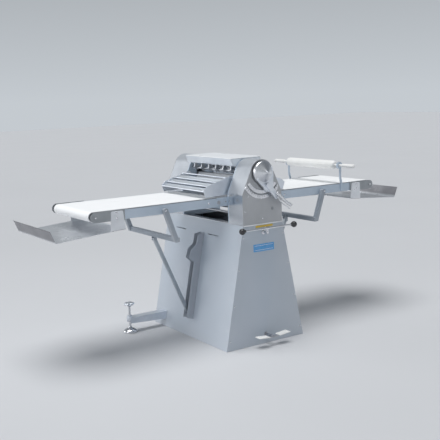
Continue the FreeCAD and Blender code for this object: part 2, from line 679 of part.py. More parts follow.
def thickness_lever():
    face = front_end
    angle = math.radians(SIZES["leverDrop"])
    along, across = (math.cos(angle), -math.sin(angle)), (math.sin(angle), math.cos(angle))

    def spot(reach, aside):
        return (reach * along[0] + aside * across[0], S.dialHeight + reach * along[1] + aside * across[1])

    cone = [(0, 8), (S.dialRadius, 8), (S.dialRadius, 22), (S.dialRadius - 4, 27), (14, 60), (0, 64)]
    dial = turned("lever_dial", cone, (0, face, S.dialHeight), (0, -1, 0))
    shaft = rod("lever_shaft", 12, 60, (0, face - 10, S.dialHeight))
    aside, reach = S.leverAside, S.leverReach
    wings = [spot(-10, -71), spot(92, -66), spot(124, aside - 16), spot(124, aside + 16), spot(64, 38),
             spot(14, 70)]
    wedge = pad("lever_wedge", wings, face - 30, face - 10)
    bar = pad("lever_bar", [spot(34, aside - 17), spot(reach, aside - 19), spot(reach, aside + 15),
                            spot(34, aside + 17)], face - 46, face - 30)
    bends = ((reach - 40, aside + 9), (reach + 45, aside + 19), (reach + 108, aside + 38))
    grips = []
    for index, (here, there) in enumerate(zip(bends, bends[1:])):
        start, end = spot(*here), spot(*there)
        run, drop = ((end[i] - start[i]).number for i in (0, 1))
        grips.append(rod(f"lever_grip_{index}", 10, math.hypot(run, drop), (start[0], face - 54, start[1]),
                         (run, 0, drop)))
    knuckle = doc.addObject("Part::Sphere", "lever_knuckle")
    bind(knuckle, "Radius", 10)
    place(knuckle, (spot(*bends[1])[0], face - 54, spot(*bends[1])[1]))
    node("gap_lever", joined("gap_lever", [dial, shaft, wedge, bar, *grips, knuckle]))
    tail = [spot(reach - 20, aside - 12), spot(reach + 45, aside - 9), spot(reach + 116, aside + 10),
            spot(reach + 114, aside + 18), spot(reach + 45, aside - 1), spot(reach - 20, aside - 3)]
    node("lever_trigger", pad("lever_trigger", tail, face - 62, face - 48))

    arcs = []
    for index, (inner, outer) in enumerate(((110, 133), (141, 165))):
        blank = rod(f"arc_blank_{index}", outer, 6, (0, face - 6, S.dialHeight))
        bore = rod(f"arc_bore_{index}", inner, 12, (0, face - 9, S.dialHeight))
        ring = less(f"arc_ring_{index}", blank, [bore])
        wedge = [(0, S.dialHeight), (-148, S.dialHeight - 93), (-148, 900), (120, 900),
                 (120, S.dialHeight - 84)]
        window = pad(f"arc_window_{index}", wedge, face - 20, face + 20)
        keep = doc.addObject("Part::Common", f"scale_arc_{index}")
        keep.Base, keep.Tool = ring, window
        arcs.append(keep)
    node("scale_arcs", together("scale_arcs", arcs))


# ---- controls on the front ----

def front_controls():
    face, height, low = front_end, S.rodHeight, S.pivotHeight
    bar = rod("control_bar", 6, 366, (-170, face - 40, height), (1, 0, 0))
    link = [(-9, low - 9), (9, low - 9), (7, height), (-7, height)]
    hanger = pad("control_hanger", link, face - 44, face - 36)
    pivot = rod("control_pivot", 9, 60, (0, face - 46, low))
    washer = rod("control_washer", 17, 6, (0, face - 8, low))
    node("control_rod", joined("control_rod", [bar, hanger, pivot, washer]))
    ball = [(0, -20), (8, -20), (15, -14), (19, -6), (20, 0), (19, 6), (15, 14), (8, 20), (0, 20)]
    knobs = [turned(f"{side}_knob", ball, (13 + sign * 203, face - 40, height), (1, 0, 0))
             for side, sign in SIDES]
    node("control_knobs", together("control_knobs", knobs))

    height = S.pedalHeight
    pedal_axle = rod("pedal_axle", 9, 84, (0, face - 76, height))
    beam = pad("pedal_beam", [(-46, height - 6), (46, height - 6), (46, height + 4), (-46, height + 4)],
               face - 84, face - 70)
    treads = []
    for side, sign in SIDES:
        tread = mirrored(sign, [(38, height + 2), (122, height + 10), (122, height + 16), (38, height + 8)])
        treads.append(pad(f"{side}_tread", tread, face - 100, face - 50, rounds=[(2.4, (0, 3))]))
    node("pedal", joined("pedal", [pedal_axle, beam, *treads]))


# ---- stabilising foot at the rear left ----

def stabiliser():
    out, back, gauge = S.footOut, S.footBack, 4
    low, high, tip = 50, 105, -S.footOut - 8
    top = pad("arm_web", [(tip, high - gauge), (-flank(high - gauge), high - gauge), (-flank(high), high),
                          (tip, high)], back - 30, back + 30)
    side_shape = [(tip, low + 16), (-flank(low), low), (-flank(high - 1), high - 1), (tip, high - 1)]
    walls = [pad(f"arm_{name}_wall", side_shape, start, start + gauge)
             for name, start in (("front", back - 30), ("rear", back + 30 - gauge))]
    boss = rod("arm_boss", 16, 34, (-out, back, 84), (0, 0, 1))
    bore = rod("arm_bore", 8 + fit, 120, (-out, back, 40), (0, 0, 1))
    node("outrigger_arm", less("outrigger_arm", joined("arm_welded", [top, *walls, boss]), [bore]))
    pad_outline = [(0, 0), (45, 0), (46, 8), (38, 20), (22, 30), (13, 34), (0, 34)]
    node("foot_pad", turned("foot_pad", pad_outline, (-out, back, 0)))
    screw = turned("foot_screw", [(0, 34.3), (8, 34.3), (8, 190), (0, 190)], (-out, back, 0))
    wheel_outline = [(0, 178), (12, 178), (14, 186), (34, 190), (39, 197), (37, 205), (30, 207), (14, 200),
                     (0, 202)]
    wheel = turned("foot_wheel", wheel_outline, (-out, back, 0))
    notches = []
    for index in range(6):
        turn = math.tau * index / 6
        notch_at = (-out + 42 * math.cos(turn), back + 42 * math.sin(turn), 176)
        notches.append(rod(f"wheel_notch_{index}", 9, 40, notch_at, (0, 0, 1)))
    node("foot_spindle", less("foot_spindle", joined("foot_turning", [screw, wheel]), notches))


# ---- rolling bracket on the right table ----

def rolling_bracket():
    gauge, out, high = 6, S.pinOut, S.pinHeight
    front, rear = front_wall - 14, rear_wall + 8
    shape = [(796, 900), (812, 900), (812, 950), (802, 990), (802, 1054), (786, 1054), (786, 990),
             (796, 950)]
    front_post = pad("front_post", shape, front, front + gauge)
    rear_post = pad("rear_post", shape, rear, rear + gauge)
    eye = less("pin_eye", rod("pin_eye_blank", 24, 12, (out, front - 3, high)),
               [rod("pin_eye_bore", 9 + fit, 40, (out, front - 16, high))])
    seat, notch, half = high - 9.2, 9.2, 17
    saddle = [(out - half, 1050), (out + half, 1050), (out + half, seat + 9), (out + notch, seat + 9),
              (out + notch, seat), (out - notch, seat), (out - notch, seat + 9), (out - half, seat + 9)]
    saddle = pad("rear_saddle", saddle, rear, rear + gauge)
    brackets = [joined("front_bracket", [front_post, eye]), joined("rear_bracket", [rear_post, saddle])]
    node("pin_brackets", together("pin_brackets", brackets))

    half, bore = S.pinLength / 2, 9 + fit
    outline = [(bore, -half), (20, -half), (28, 12 - half), (S.pinRadius, 30 - half),
               (S.pinRadius, half - 30), (28, half - 12), (20, half), (bore, half)]
    node("rolling_pin", turned("rolling_pin", outline, (out, S.pinMiddle, high), (0, 1, 0)))
    reach, shank = 430, 316
    grip = [(9, shank), (12, shank + 8), (13, shank + 34), (13, reach - 14), (12, reach - 6), (9, reach)]
    axle = [(0, -reach), *[(size, -along) for size, along in reversed(grip)], *grip, (0, reach)]
    node("pin_handles", turned("pin_handles", axle, (out, S.headMiddle, high), (0, 1, 0)))


# ---- fasteners of the fixed covers ----

def cover_screws():
    screws = []
    spots = [(75, 866), (-138, 864), (-4, 812), (110, 958), (-110, 958)]
    for height in (60, 280, 500, 700):
        spots += [(sign * (flank(height) - 14), height) for side, sign in SIDES]
    head = [(0, 0), (5, 0), (5, 1.8), (3, 3), (0, 3)]
    ear_screws = [(sign * 166, S.beltAxis) for side, sign in SIDES]
    for index, (x, z) in enumerate(ear_screws):
        for name, y, way in (("front", front_wall, -1), ("rear", rear_wall, 1)):
            screws.append(turned(f"{name}_ear_screw_{index}", head, (x, y, z), (0, way, 0)))
    for index, (x, z) in enumerate(spots):
        for name, y, way in (("front", front_end, -1), ("rear", rear_end, 1)):
            screws.append(turned(f"{name}_screw_{index}", head, (x, y, z), (0, way, 0)))
    node("cover_screws", together("cover_screws", screws))


stand()
strut_channels()
head()
rollers_and_drive()
for side, sign in SIDES:
    table(side, sign)
flour_tray()
thickness_lever()
front_controls()
stabiliser()
rolling_bracket()
cover_screws()

doc.recompute()
failed = [thing.Name for thing in doc.Objects if "Invalid" in thing.State or "Error" in thing.State]
if failed:
    raise RuntimeError(f"did not build: {failed}")
os.makedirs("parts", exist_ok=True)
for name, thing in nodes.items():
    if thing.Shape.isNull() or not thing.Shape.isValid():
        raise RuntimeError(f"{name} has no valid shape")
for name, thing in nodes.items():
    thing.Shape.exportStep(f"parts/{name}.step")
    bounds = thing.Shape.BoundBox
    print(f"{name}: {len(thing.Shape.Solids)} solids, {thing.Shape.Volume / 1000:.1f} cm3,"
          f" x {bounds.XMin:.0f}..{bounds.XMax:.0f} y {bounds.YMin:.0f}..{bounds.YMax:.0f}"
          f" z {bounds.ZMin:.0f}..{bounds.ZMax:.0f}")
print(len(nodes), "nodes")
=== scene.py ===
import json
import math

import bmesh
import bpy
from mathutils import Matrix, Vector


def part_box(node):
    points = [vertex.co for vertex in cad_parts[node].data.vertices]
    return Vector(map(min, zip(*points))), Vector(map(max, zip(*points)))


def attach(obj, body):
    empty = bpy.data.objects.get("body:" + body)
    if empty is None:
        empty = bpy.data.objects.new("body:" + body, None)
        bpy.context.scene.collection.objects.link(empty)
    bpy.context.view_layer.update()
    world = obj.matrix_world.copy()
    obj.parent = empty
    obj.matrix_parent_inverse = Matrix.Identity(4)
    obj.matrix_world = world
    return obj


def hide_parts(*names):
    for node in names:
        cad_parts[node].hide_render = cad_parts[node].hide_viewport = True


# Dough sheeter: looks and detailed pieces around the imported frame, in metres.

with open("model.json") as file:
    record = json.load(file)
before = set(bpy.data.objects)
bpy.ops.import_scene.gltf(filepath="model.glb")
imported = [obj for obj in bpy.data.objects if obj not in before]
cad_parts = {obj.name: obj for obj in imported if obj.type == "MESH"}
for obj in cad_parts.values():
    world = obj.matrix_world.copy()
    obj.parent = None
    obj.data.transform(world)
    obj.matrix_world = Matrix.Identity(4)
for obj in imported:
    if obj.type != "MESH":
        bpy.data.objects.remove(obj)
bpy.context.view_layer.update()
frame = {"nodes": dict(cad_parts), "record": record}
record = frame["record"]
bodyOf = {node: body for body, nodes in record["behaviour"]["bodies"].items() for node in nodes}
sides = (("left", -1), ("right", 1))
mm = 0.001
micron = 0.000001
upAxis = Vector((0, 0, 1))
backAxis = Vector((0, 1, 0))


# Camera, light and floor
cameraLook = {"place": (-2.961, -4.397, 1.577), "heading": 33.77, "drop": 8.87, "roll": 1.98, "lens": 64.95}
lightLook = {
    "key": {"kind": "SUN", "from": (-0.15, -0.05, 0.985), "power": 2.5, "spread": 40},
    "leftWall": {"kind": "AREA", "from": (-4.0, 4.5, 2.0), "size": (4.0, 3.0), "power": 8.5, "beam": 50},
    "leftPanel": {"kind": "AREA", "from": (-4.2, -0.8, 1.6), "size": (2.6, 2.0), "power": 3.2, "beam": 50},
}
roomLook = {"colour": (0.88, 0.94, 1.0, 1), "horizon": 0.43, "overhead": 0.22, "haze": 0.20,
            "hazeTop": 0.22, "floorSize": 80, "floorDrop": 0.6}
floorLook = {"colour": (0.56, 0.57, 0.59), "shade": (0.56, 0.57, 0.59), "rough": 0.6, "peel": 60,
             "peelDepth": 10, "cloud": 0.7, "wear": 0}


def camera(look):
    heading, drop, roll = (math.radians(look[word]) for word in ("heading", "drop", "roll"))
    level = Vector((math.sin(heading), math.cos(heading), 0))
    ahead = level * math.cos(drop) - upAxis * math.sin(drop)
    right = Vector((math.cos(heading), -math.sin(heading), 0))
    top = right.cross(ahead)
    across = right * math.cos(roll) - top * math.sin(roll)
    top = right * math.sin(roll) + top * math.cos(roll)
    data = bpy.data.cameras.new("camera")
    data.lens = look["lens"]
    data.clip_end = 100
    stand = bpy.data.objects.new("camera", data)
    bpy.context.scene.collection.objects.link(stand)
    turn = Matrix((across, top, -ahead)).transposed().to_4x4()
    stand.matrix_world = Matrix.Translation(look["place"]) @ turn
    bpy.context.scene.camera = stand


def lights(looks):
    for name, look in looks.items():
        data = bpy.data.lights.new(f"{name}Light", look["kind"])
        data.energy = look["power"]
        if look["kind"] == "SUN":
            data.angle = math.radians(look["spread"])
        else:
            data.shape = "RECTANGLE"
            data.size, data.size_y = look["size"]
            data.spread = math.radians(look["beam"])  # kept narrow, so the floor stays even
        lamp = bpy.data.objects.new(f"{name}Light", data)
        bpy.context.scene.collection.objects.link(lamp)
        lamp.location = look["from"]
        lamp.rotation_euler = (-Vector(look["from"])).to_track_quat("-Z", "Y").to_euler()
        lamp.visible_camera = False


def room(look):
    world = bpy.data.worlds.new("room")
    bpy.context.scene.world = world
    world.use_nodes = True
    tree = world.node_tree
    glow = tree.nodes["Background"]
    glow.inputs["Color"].default_value = look["colour"]
    apart = tree.nodes.new("ShaderNodeSeparateXYZ")
    tree.links.new(tree.nodes.new("ShaderNodeTexCoord").outputs["Generated"], apart.inputs[0])
    sky = spread(tree, apart.outputs["Z"], look["horizon"], look["overhead"], 0, 1)
    haze = spread(tree, apart.outputs["Z"], look["haze"], 0, 0, look["hazeTop"])
    tree.links.new(mathNode(tree, "ADD", sky, haze), glow.inputs["Strength"])
    half = look["floorSize"] / 2
    data = bpy.data.meshes.new("floor")
    corners = [(-half, -half, 0), (half, -half, 0), (half, half, 0), (-half, half, 0)]
    data.from_pydata(corners, [], [(0, 1, 2, 3)])
    floor = bpy.data.objects.new("floor", data)
    bpy.context.scene.collection.objects.link(floor)
    floor.location.z = -look["floorDrop"] * mm
    data.materials.append(enamel("floorPaint", floorLook))
    bpy.context.scene.view_settings.view_transform = "Standard"


# Finishes
def started(name):
    finish = bpy.data.materials.new(name)
    finish.use_nodes = True
    tree = finish.node_tree
    return finish, tree, tree.nodes["Principled BSDF"]


def noise(tree, source, scale, detail=3.0, rough=0.55):
    grain = tree.nodes.new("ShaderNodeTexNoise")
    for word, value in (("Scale", scale), ("Detail", detail), ("Roughness", rough)):
        grain.inputs[word].default_value = value
    tree.links.new(source, grain.inputs["Vector"])
    return grain.outputs["Fac"]


def stretched(tree, source, scale):
    mapping = tree.nodes.new("ShaderNodeMapping")
    mapping.inputs["Scale"].default_value = scale
    tree.links.new(source, mapping.inputs["Vector"])
    return mapping.outputs["Vector"]


def spread(tree, source, low, high, fromLow=0.3, fromHigh=0.7):
    between = tree.nodes.new("ShaderNodeMapRange")
    for word, value in (("From Min", fromLow), ("From Max", fromHigh), ("To Min", low), ("To Max", high)):
        between.inputs[word].default_value = value
    tree.links.new(source, between.inputs["Value"])
    return between.outputs["Result"]


def fed(tree, socket, value):
    # a socket takes a number, a colour, a place or another node's output
    if isinstance(value, bpy.types.NodeSocket):
        tree.links.new(value, socket)
    elif socket.type == "RGBA":
        socket.default_value = (*value, 1)
    else:
        socket.default_value = value


def blended(tree, share, first, second):
    mix = tree.nodes.new("ShaderNodeMix")
    mix.data_type = "RGBA"
    tree.links.new(share, mix.inputs["Factor"])
    fed(tree, mix.inputs[6], first)
    fed(tree, mix.inputs[7], second)
    return mix.outputs[2]


def mathNode(tree, operation, first, second):
    step = tree.nodes.new("ShaderNodeMath")
    step.operation = operation
    fed(tree, step.inputs[0], first)
    fed(tree, step.inputs[1], second)
    return step.outputs[0]


def vectorNode(tree, operation, first, second=(0, 0, 0)):
    step = tree.nodes.new("ShaderNodeVectorMath")
    step.operation = operation
    fed(tree, step.inputs[0], first)
    fed(tree, step.inputs[1], second)
    return step


def bumped(tree, shader, height, depth):
    # depth is the real one, in metres
    bump = tree.nodes.new("ShaderNodeBump")
    bump.inputs["Strength"].default_value = 1
    bump.inputs["Distance"].default_value = depth
    tree.links.new(height, bump.inputs["Height"])
    tree.links.new(bump.outputs["Normal"], shader.inputs["Normal"])


def rubbed(tree, colour, amount, bare):
    # paler or darker where a corner has been handled
    edge = tree.nodes.new("ShaderNodeNewGeometry").outputs["Pointiness"]
    share = spread(tree, edge, 0, amount, 0.52, 0.60)
    return blended(tree, share, colour, bare)


def enamel(name, look):
    # sprayed enamel: faint clouding, orange peel, rubbed corners
    look = enamelBase | look
    finish, tree, shader = started(name)
    place = tree.nodes.new("ShaderNodeTexCoord").outputs["Object"]
    cloud = noise(tree, place, look["cloud"], 2.0)
    peel = noise(tree, place, look["peel"], 2.0)
    colour = blended(tree, spread(tree, cloud, 0, 1), look["colour"], look["shade"])
    if look["wear"]:
        colour = rubbed(tree, colour, look["wear"], look["bare"])
    tree.links.new(colour, shader.inputs["Base Color"])
    rough = spread(tree, cloud, *[look["rough"] + change for change in look["vary"]])
    tree.links.new(rough, shader.inputs["Roughness"])
    shader.inputs["Coat Weight"].default_value = look["coat"]
    shader.inputs["Coat Roughness"].default_value = look["coatRough"]
    bumped(tree, shader, peel, look["peelDepth"] * micron)
    return finish


scratches = (90, 70, 14)  # how fine they are along X, Y and Z
fade = 0.006  # metres over which one finish meets another


def sheetSteel(name, look):
    # rolled or brushed metal: long fine lines, cloudy reflections, small scratches
    look = steelBase | look
    finish, tree, shader = started(name)
    place = tree.nodes.new("ShaderNodeTexCoord").outputs["Object"]
    lines = noise(tree, stretched(tree, place, look["grain"]), 1.0, 3.0, 0.6)
    cloud = noise(tree, place, look["cloud"], 3.0)
    marks = noise(tree, stretched(tree, place, scratches), 6.0, 5.0, 0.7)
    colour = blended(tree, spread(tree, cloud, 0, 1), look["colour"], look["shade"])
    colour = blended(tree, spread(tree, lines, 0, look["streak"]), colour, look["shade"])
    apart = tree.nodes.new("ShaderNodeSeparateXYZ")
    tree.links.new(place, apart.inputs[0])
    if "lipShadeFrom" in look:  # painted shade: past this distance from the middle the lip is coloured darker, standing in for the darker surroundings it reflects
        out = mathNode(tree, "ABSOLUTE", apart.outputs["X"], 0)
        share = spread(tree, out, 0, 1, look["lipShadeFrom"], look["lipShadeFrom"] + fade)
        colour = blended(tree, share, colour, look["lipShadeColour"])
    tree.links.new(colour, shader.inputs["Base Color"])
    shader.inputs["Metallic"].default_value = look["metal"]
    rough = spread(tree, lines, look["rough"] - look["vary"], look["rough"] + look["vary"])
    if "brushedFrom" in look:  # polished below this height, brushed above
        level = look["brushedFrom"]
        share = spread(tree, apart.outputs["Z"], look["polish"], 1, level - fade, level + fade)
        rough = mathNode(tree, "MULTIPLY", rough, share)
    clouded = spread(tree, cloud, -look["vary"], look["vary"])
    scuffed = spread(tree, marks, 0, look["vary"], 0.62, 0.75)
    rough = mathNode(tree, "ADD", rough, mathNode(tree, "ADD", clouded, scuffed))
    tree.links.new(rough, shader.inputs["Roughness"])
    height = mathNode(tree, "ADD", lines, mathNode(tree, "MULTIPLY", cloud, look["ripple"]))
    bumped(tree, shader, height, look["depth"] * micron)
    return finish


def turnedSteelPaintedHighlight(name, look):
    # lathe-turned face: rings about the piece's own middle, with painted highlight sectors, lobes of
    # lighter colour swept round the middle
    finish, tree, shader = started(name)
    place = tree.nodes.new("ShaderNodeTexCoord").outputs["Object"]
    middle = vectorNode(tree, "SUBTRACT", place, look["middle"]).outputs[0]
    flat = vectorNode(tree, "MULTIPLY", middle, (1, 0, 1)).outputs[0]
    reach = vectorNode(tree, "LENGTH", flat)
    rings = tree.nodes.new("ShaderNodeTexNoise")
    rings.noise_dimensions = "1D"
    rings.inputs["Scale"].default_value = look["rings"]
    rings.inputs["Detail"].default_value = 3
    tree.links.new(reach.outputs["Value"], rings.inputs["W"])
    apart = tree.nodes.new("ShaderNodeSeparateXYZ")
    tree.links.new(middle, apart.inputs[0])
    # painted highlight: the colour is lightest in lobes swept round the middle, from the given angle,
    # standing in for the turned face's reflections
    around = mathNode(tree, "ARCTAN2", apart.outputs["Z"], apart.outputs["X"])
    around = mathNode(tree, "SUBTRACT", around, math.radians(look["highlightAt"]))
    sweep = mathNode(tree, "COSINE", mathNode(tree, "MULTIPLY", around, look["highlightLobes"]), 0)
    highlightLobes = spread(tree, sweep, 0, 1, -0.9, 0.9)
    colour = blended(tree, highlightLobes, look["colour"], look["shade"])
    ringShare = spread(tree, rings.outputs["Fac"], 0, 0.4)
    tree.links.new(blended(tree, ringShare, colour, look["shade"]), shader.inputs["Base Color"])
    shader.inputs["Metallic"].default_value = 1
    rough = spread(tree, rings.outputs["Fac"], *[look["rough"] + change for change in look["vary"]])
    tree.links.new(rough, shader.inputs["Roughness"])
    bumped(tree, shader, rings.outputs["Fac"], look["depth"] * micron)
    return finish


def beltCloth(name, look):
    # coated conveyor cloth: fine square weave, flour-dulled patches and one slanting splice
    finish, tree, shader = started(name)
    place = tree.nodes.new("ShaderNodeTexCoord").outputs["Object"]
    waves = []
    for direction in ("X", "Y"):
        wave = tree.nodes.new("ShaderNodeTexWave")
        wave.wave_type = "BANDS"
        wave.bands_direction = direction
        wave.inputs["Scale"].default_value = look["threads"]
        wave.inputs["Distortion"].default_value = look["waver"]
        tree.links.new(place, wave.inputs["Vector"])
        waves.append(wave.outputs["Fac"])
    weave = mathNode(tree, "MULTIPLY", waves[0], waves[1])
    dust = noise(tree, place, 7.0, 5.0, 0.65)
    colour = blended(tree, spread(tree, dust, 0, 1), look["colour"], look["dust"])
    apart = tree.nodes.new("ShaderNodeSeparateXYZ")
    tree.links.new(place, apart.inputs[0])
    lean = mathNode(tree, "MULTIPLY", apart.outputs["Y"], look["spliceSlant"])
    slant = mathNode(tree, "ADD", apart.outputs["X"], lean)
    off = mathNode(tree, "ABSOLUTE", mathNode(tree, "SUBTRACT", slant, look["splice"]), 0)
    splice = spread(tree, off, 1, 0, *look["spliceEdge"])
    colour = blended(tree, splice, colour, look["seam"])
    tree.links.new(colour, shader.inputs["Base Color"])
    tree.links.new(spread(tree, dust, 0.5, 0.75), shader.inputs["Roughness"])
    shader.inputs["Sheen Weight"].default_value = 0.15
    height = mathNode(tree, "SUBTRACT", weave, splice)
    bumped(tree, shader, height, look["depth"] * micron)
    return finish


# what a finish doesn't say for itself is taken from the base above it
enamelBase = {"peel": 500, "peelDepth": 3, "cloud": 20, "wear": 0.2, "coat": 0.0, "coatRough": 0.15,
              "bare": (0.55, 0.56, 0.58), "vary": (-0.05, 0.06)}
finishLook = {
    "panelPaint": {"colour": (0.49, 0.54, 0.61), "shade": (0.45, 0.51, 0.58), "rough": 0.42, "peel": 420,
                   "peelDepth": 8, "cloud": 3, "wear": 0.35},
    # painted shade: the strut channel's paint is a darker copy of panelPaint, standing in for the shade on
    # its faces
    "channelPaintShaded": {"colour": (0.44, 0.48, 0.54), "shade": (0.4, 0.44, 0.5), "rough": 0.45, "peel": 420,
                     "peelDepth": 8, "cloud": 4, "wear": 0.35},
    "yokePaint": {"colour": (0.34, 0.38, 0.43), "shade": (0.3, 0.34, 0.39), "rough": 0.38, "peelDepth": 8,
                  "cloud": 6, "wear": 0.5},
    "frameGrey": {"colour": (0.3, 0.32, 0.35), "shade": (0.26, 0.28, 0.31), "rough": 0.55, "peel": 400,
                  "peelDepth": 10, "cloud": 5, "wear": 0.4},
    "castGrey": {"colour": (0.33, 0.35, 0.37), "shade": (0.24, 0.26, 0.28), "rough": 0.45, "peel": 160,
                 "peelDepth": 60, "cloud": 9, "wear": 0.4},
    "lidWhite": {"colour": (0.88, 0.9, 0.92), "shade": (0.84, 0.86, 0.89), "rough": 0.3, "peelDepth": 5,
                 "cloud": 4, "coat": 0.3},
    "pinWhite": {"colour": (0.88, 0.88, 0.87), "shade": (0.82, 0.82, 0.8), "rough": 0.4, "peel": 260,
                 "peelDepth": 6, "cloud": 12, "bare": (0.72, 0.72, 0.7)},
    "knobBlack": {"colour": (0.015, 0.015, 0.016), "shade": (0.03, 0.03, 0.032), "rough": 0.16, "peel": 300,
                  "cloud": 30, "wear": 0.15, "bare": (0.12, 0.12, 0.12), "coat": 0.5},
    "plateBlue": {"colour": (0.09, 0.37, 0.74), "shade": (0.07, 0.32, 0.68), "rough": 0.3, "coat": 0.3},
    "plateWhite": {"colour": (0.82, 0.85, 0.88), "shade": (0.78, 0.81, 0.85), "rough": 0.35, "wear": 0},
    "plateYellow": {"colour": (0.78, 0.55, 0.06), "shade": (0.7, 0.48, 0.05), "rough": 0.4},
}
steelBase = {"streak": 0.3, "rough": 0.42, "vary": 0.06, "ripple": 20, "depth": 3, "metal": 1.0}
steelLook = {
    "coverSteel": {"colour": (0.52, 0.53, 0.545), "shade": (0.44, 0.45, 0.465), "grain": (900, 900, 9),
                   "cloud": 4, "streak": 0.35, "ripple": 60},
    "wrapSteel": {"colour": (0.68, 0.71, 0.75), "shade": (0.55, 0.58, 0.62), "grain": (900, 12, 900),
                  "cloud": 5, "rough": 0.55, "ripple": 80, "brushedFrom": 0.97, "polish": 0.4},
    "bedSteel": {"colour": (0.78, 0.79, 0.81), "shade": (0.62, 0.64, 0.68), "grain": (900, 12, 900),
                 "cloud": 5, "streak": 0.4, "rough": 0.34, "vary": 0.07, "ripple": 80},
    "arcSteel": {"colour": (0.86, 0.87, 0.89), "shade": (0.74, 0.75, 0.78), "grain": (120, 120, 120),
                 "cloud": 14, "streak": 0.2, "rough": 0.26, "vary": 0.05, "depth": 2},
    "guardSteel": {"colour": (0.9, 0.94, 1.0), "shade": (0.74, 0.78, 0.84), "grain": (700, 30, 700),
                   "cloud": 7, "streak": 0.25, "ripple": 90},
    "hookSteel": {"colour": (0.66, 0.68, 0.71), "shade": (0.5, 0.52, 0.55), "grain": (90, 500, 90),
                  "cloud": 15, "ripple": 30},
    "hopperSteel": {"colour": (0.9, 0.94, 0.98), "shade": (0.8, 0.84, 0.89), "grain": (700, 20, 700),
                    "cloud": 7, "streak": 0.2, "rough": 0.46, "ripple": 60},
    # the catch trays' lip colour is painted shade: a darker reflection painted on the same sheet
    "traySteelShadedLip": {"colour": (0.88, 0.9, 0.93), "shade": (0.72, 0.74, 0.77), "grain": (30, 600, 30),
                  "cloud": 6, "streak": 0.2, "rough": 0.36, "vary": 0.08, "ripple": 160, "depth": 4,
                  "lipShadeFrom": 1.322, "lipShadeColour": (0.3, 0.3, 0.32)},
    "railMetal": {"colour": (0.58, 0.66, 0.75), "shade": (0.52, 0.6, 0.69), "grain": (8, 900, 900),
                  "cloud": 6, "streak": 0.35, "rough": 0.45, "vary": 0.05, "ripple": 30, "metal": 0.7},
    "capMetal": {"colour": (0.4, 0.42, 0.44), "shade": (0.33, 0.35, 0.37), "grain": (300, 300, 300),
                 "cloud": 20, "rough": 0.45, "depth": 6, "metal": 0.7},
    "strutSteel": {"colour": (0.44, 0.48, 0.52), "shade": (0.37, 0.41, 0.45), "grain": (200, 200, 12),
                   "cloud": 9, "rough": 0.4, "depth": 5, "metal": 0.8},
    "chromeBar": {"colour": (0.8, 0.81, 0.83), "shade": (0.7, 0.71, 0.74), "grain": (20, 700, 700),
                  "cloud": 12, "streak": 0.2, "rough": 0.14, "vary": 0.04, "depth": 2},
    "rollerChrome": {"colour": (0.8, 0.81, 0.82), "shade": (0.68, 0.69, 0.71), "grain": (900, 4, 900),
                     "cloud": 8, "rough": 0.18, "vary": 0.05, "ripple": 10, "depth": 2},
    "machinedSteel": {"colour": (0.56, 0.57, 0.6), "shade": (0.42, 0.43, 0.46), "grain": (500, 60, 500),
                      "cloud": 18, "streak": 0.35, "rough": 0.32, "vary": 0.07, "ripple": 12, "depth": 5},
    "leverSteel": {"colour": (0.88, 0.91, 0.95), "shade": (0.7, 0.74, 0.8), "grain": (240, 240, 240),
                   "cloud": 14, "streak": 0.25, "rough": 0.34, "ripple": 30, "depth": 4},
}
beltLook = {"colour": (0.90, 0.91, 0.92), "dust": (0.86, 0.87, 0.88), "seam": (0.70, 0.72, 0.74),
            "threads": 240, "waver": 0.4, "spliceSlant": 0.25, "spliceEdge": (0.0006, 0.0022), "depth": 30}
# the dial's colour against its shade makes the painted highlight sectors
dialLook = {"colour": (0.95, 0.96, 0.98), "shade": (0.50, 0.52, 0.56), "rings": 1200, "highlightLobes": 2,
            "highlightAt": 70, "rough": 0.3, "vary": (-0.06, 0.08), "depth": 6}

finishes = {name: enamel(name, look) for name, look in finishLook.items()}
finishes |= {name: sheetSteel(name, look) for name, look in steelLook.items()}


# Ways of making a piece
def softened(piece, edge):
    # the corners that catch the light: a small round on every sharp edge
    weld = piece.modifiers.new("weld", "WELD")
    weld.merge_threshold = 10 * micron
    flats = piece.modifiers.new("flats", "DECIMATE")
    flats.decimate_type = "DISSOLVE"
    flats.angle_limit = math.radians(0.6)
    roundOff = piece.modifiers.new("round", "BEVEL")
    roundOff.width = edge
    roundOff.segments = 2
    roundOff.limit_method = "ANGLE"
    roundOff.angle_limit = math.radians(40)
    roundOff.miter_outer = "MITER_ARC"
    shading = piece.modifiers.new("shading", "WEIGHTED_NORMAL")
    shading.keep_sharp = True


def made(name, mesh, node, finish, edge=0.0, replace=(), smoothBelow=40):
    # a new piece from a bmesh: it rides with the node's body and takes the given finish
    data = bpy.data.meshes.new(name)
    bmesh.ops.recalc_face_normals(mesh, faces=mesh.faces)
    mesh.to_mesh(data)
    mesh.free()
    data.polygons.foreach_set("use_smooth", [True] * len(data.polygons))
    data.set_sharp_from_angle(angle=math.radians(smoothBelow))
    piece = bpy.data.objects.new(name, data)
    bpy.context.scene.collection.objects.link(piece)
    data.materials.append(finish)
    if edge:
        softened(piece, edge)
    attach(piece, bodyOf[node])
    if replace:
        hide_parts(*replace)
    return piece


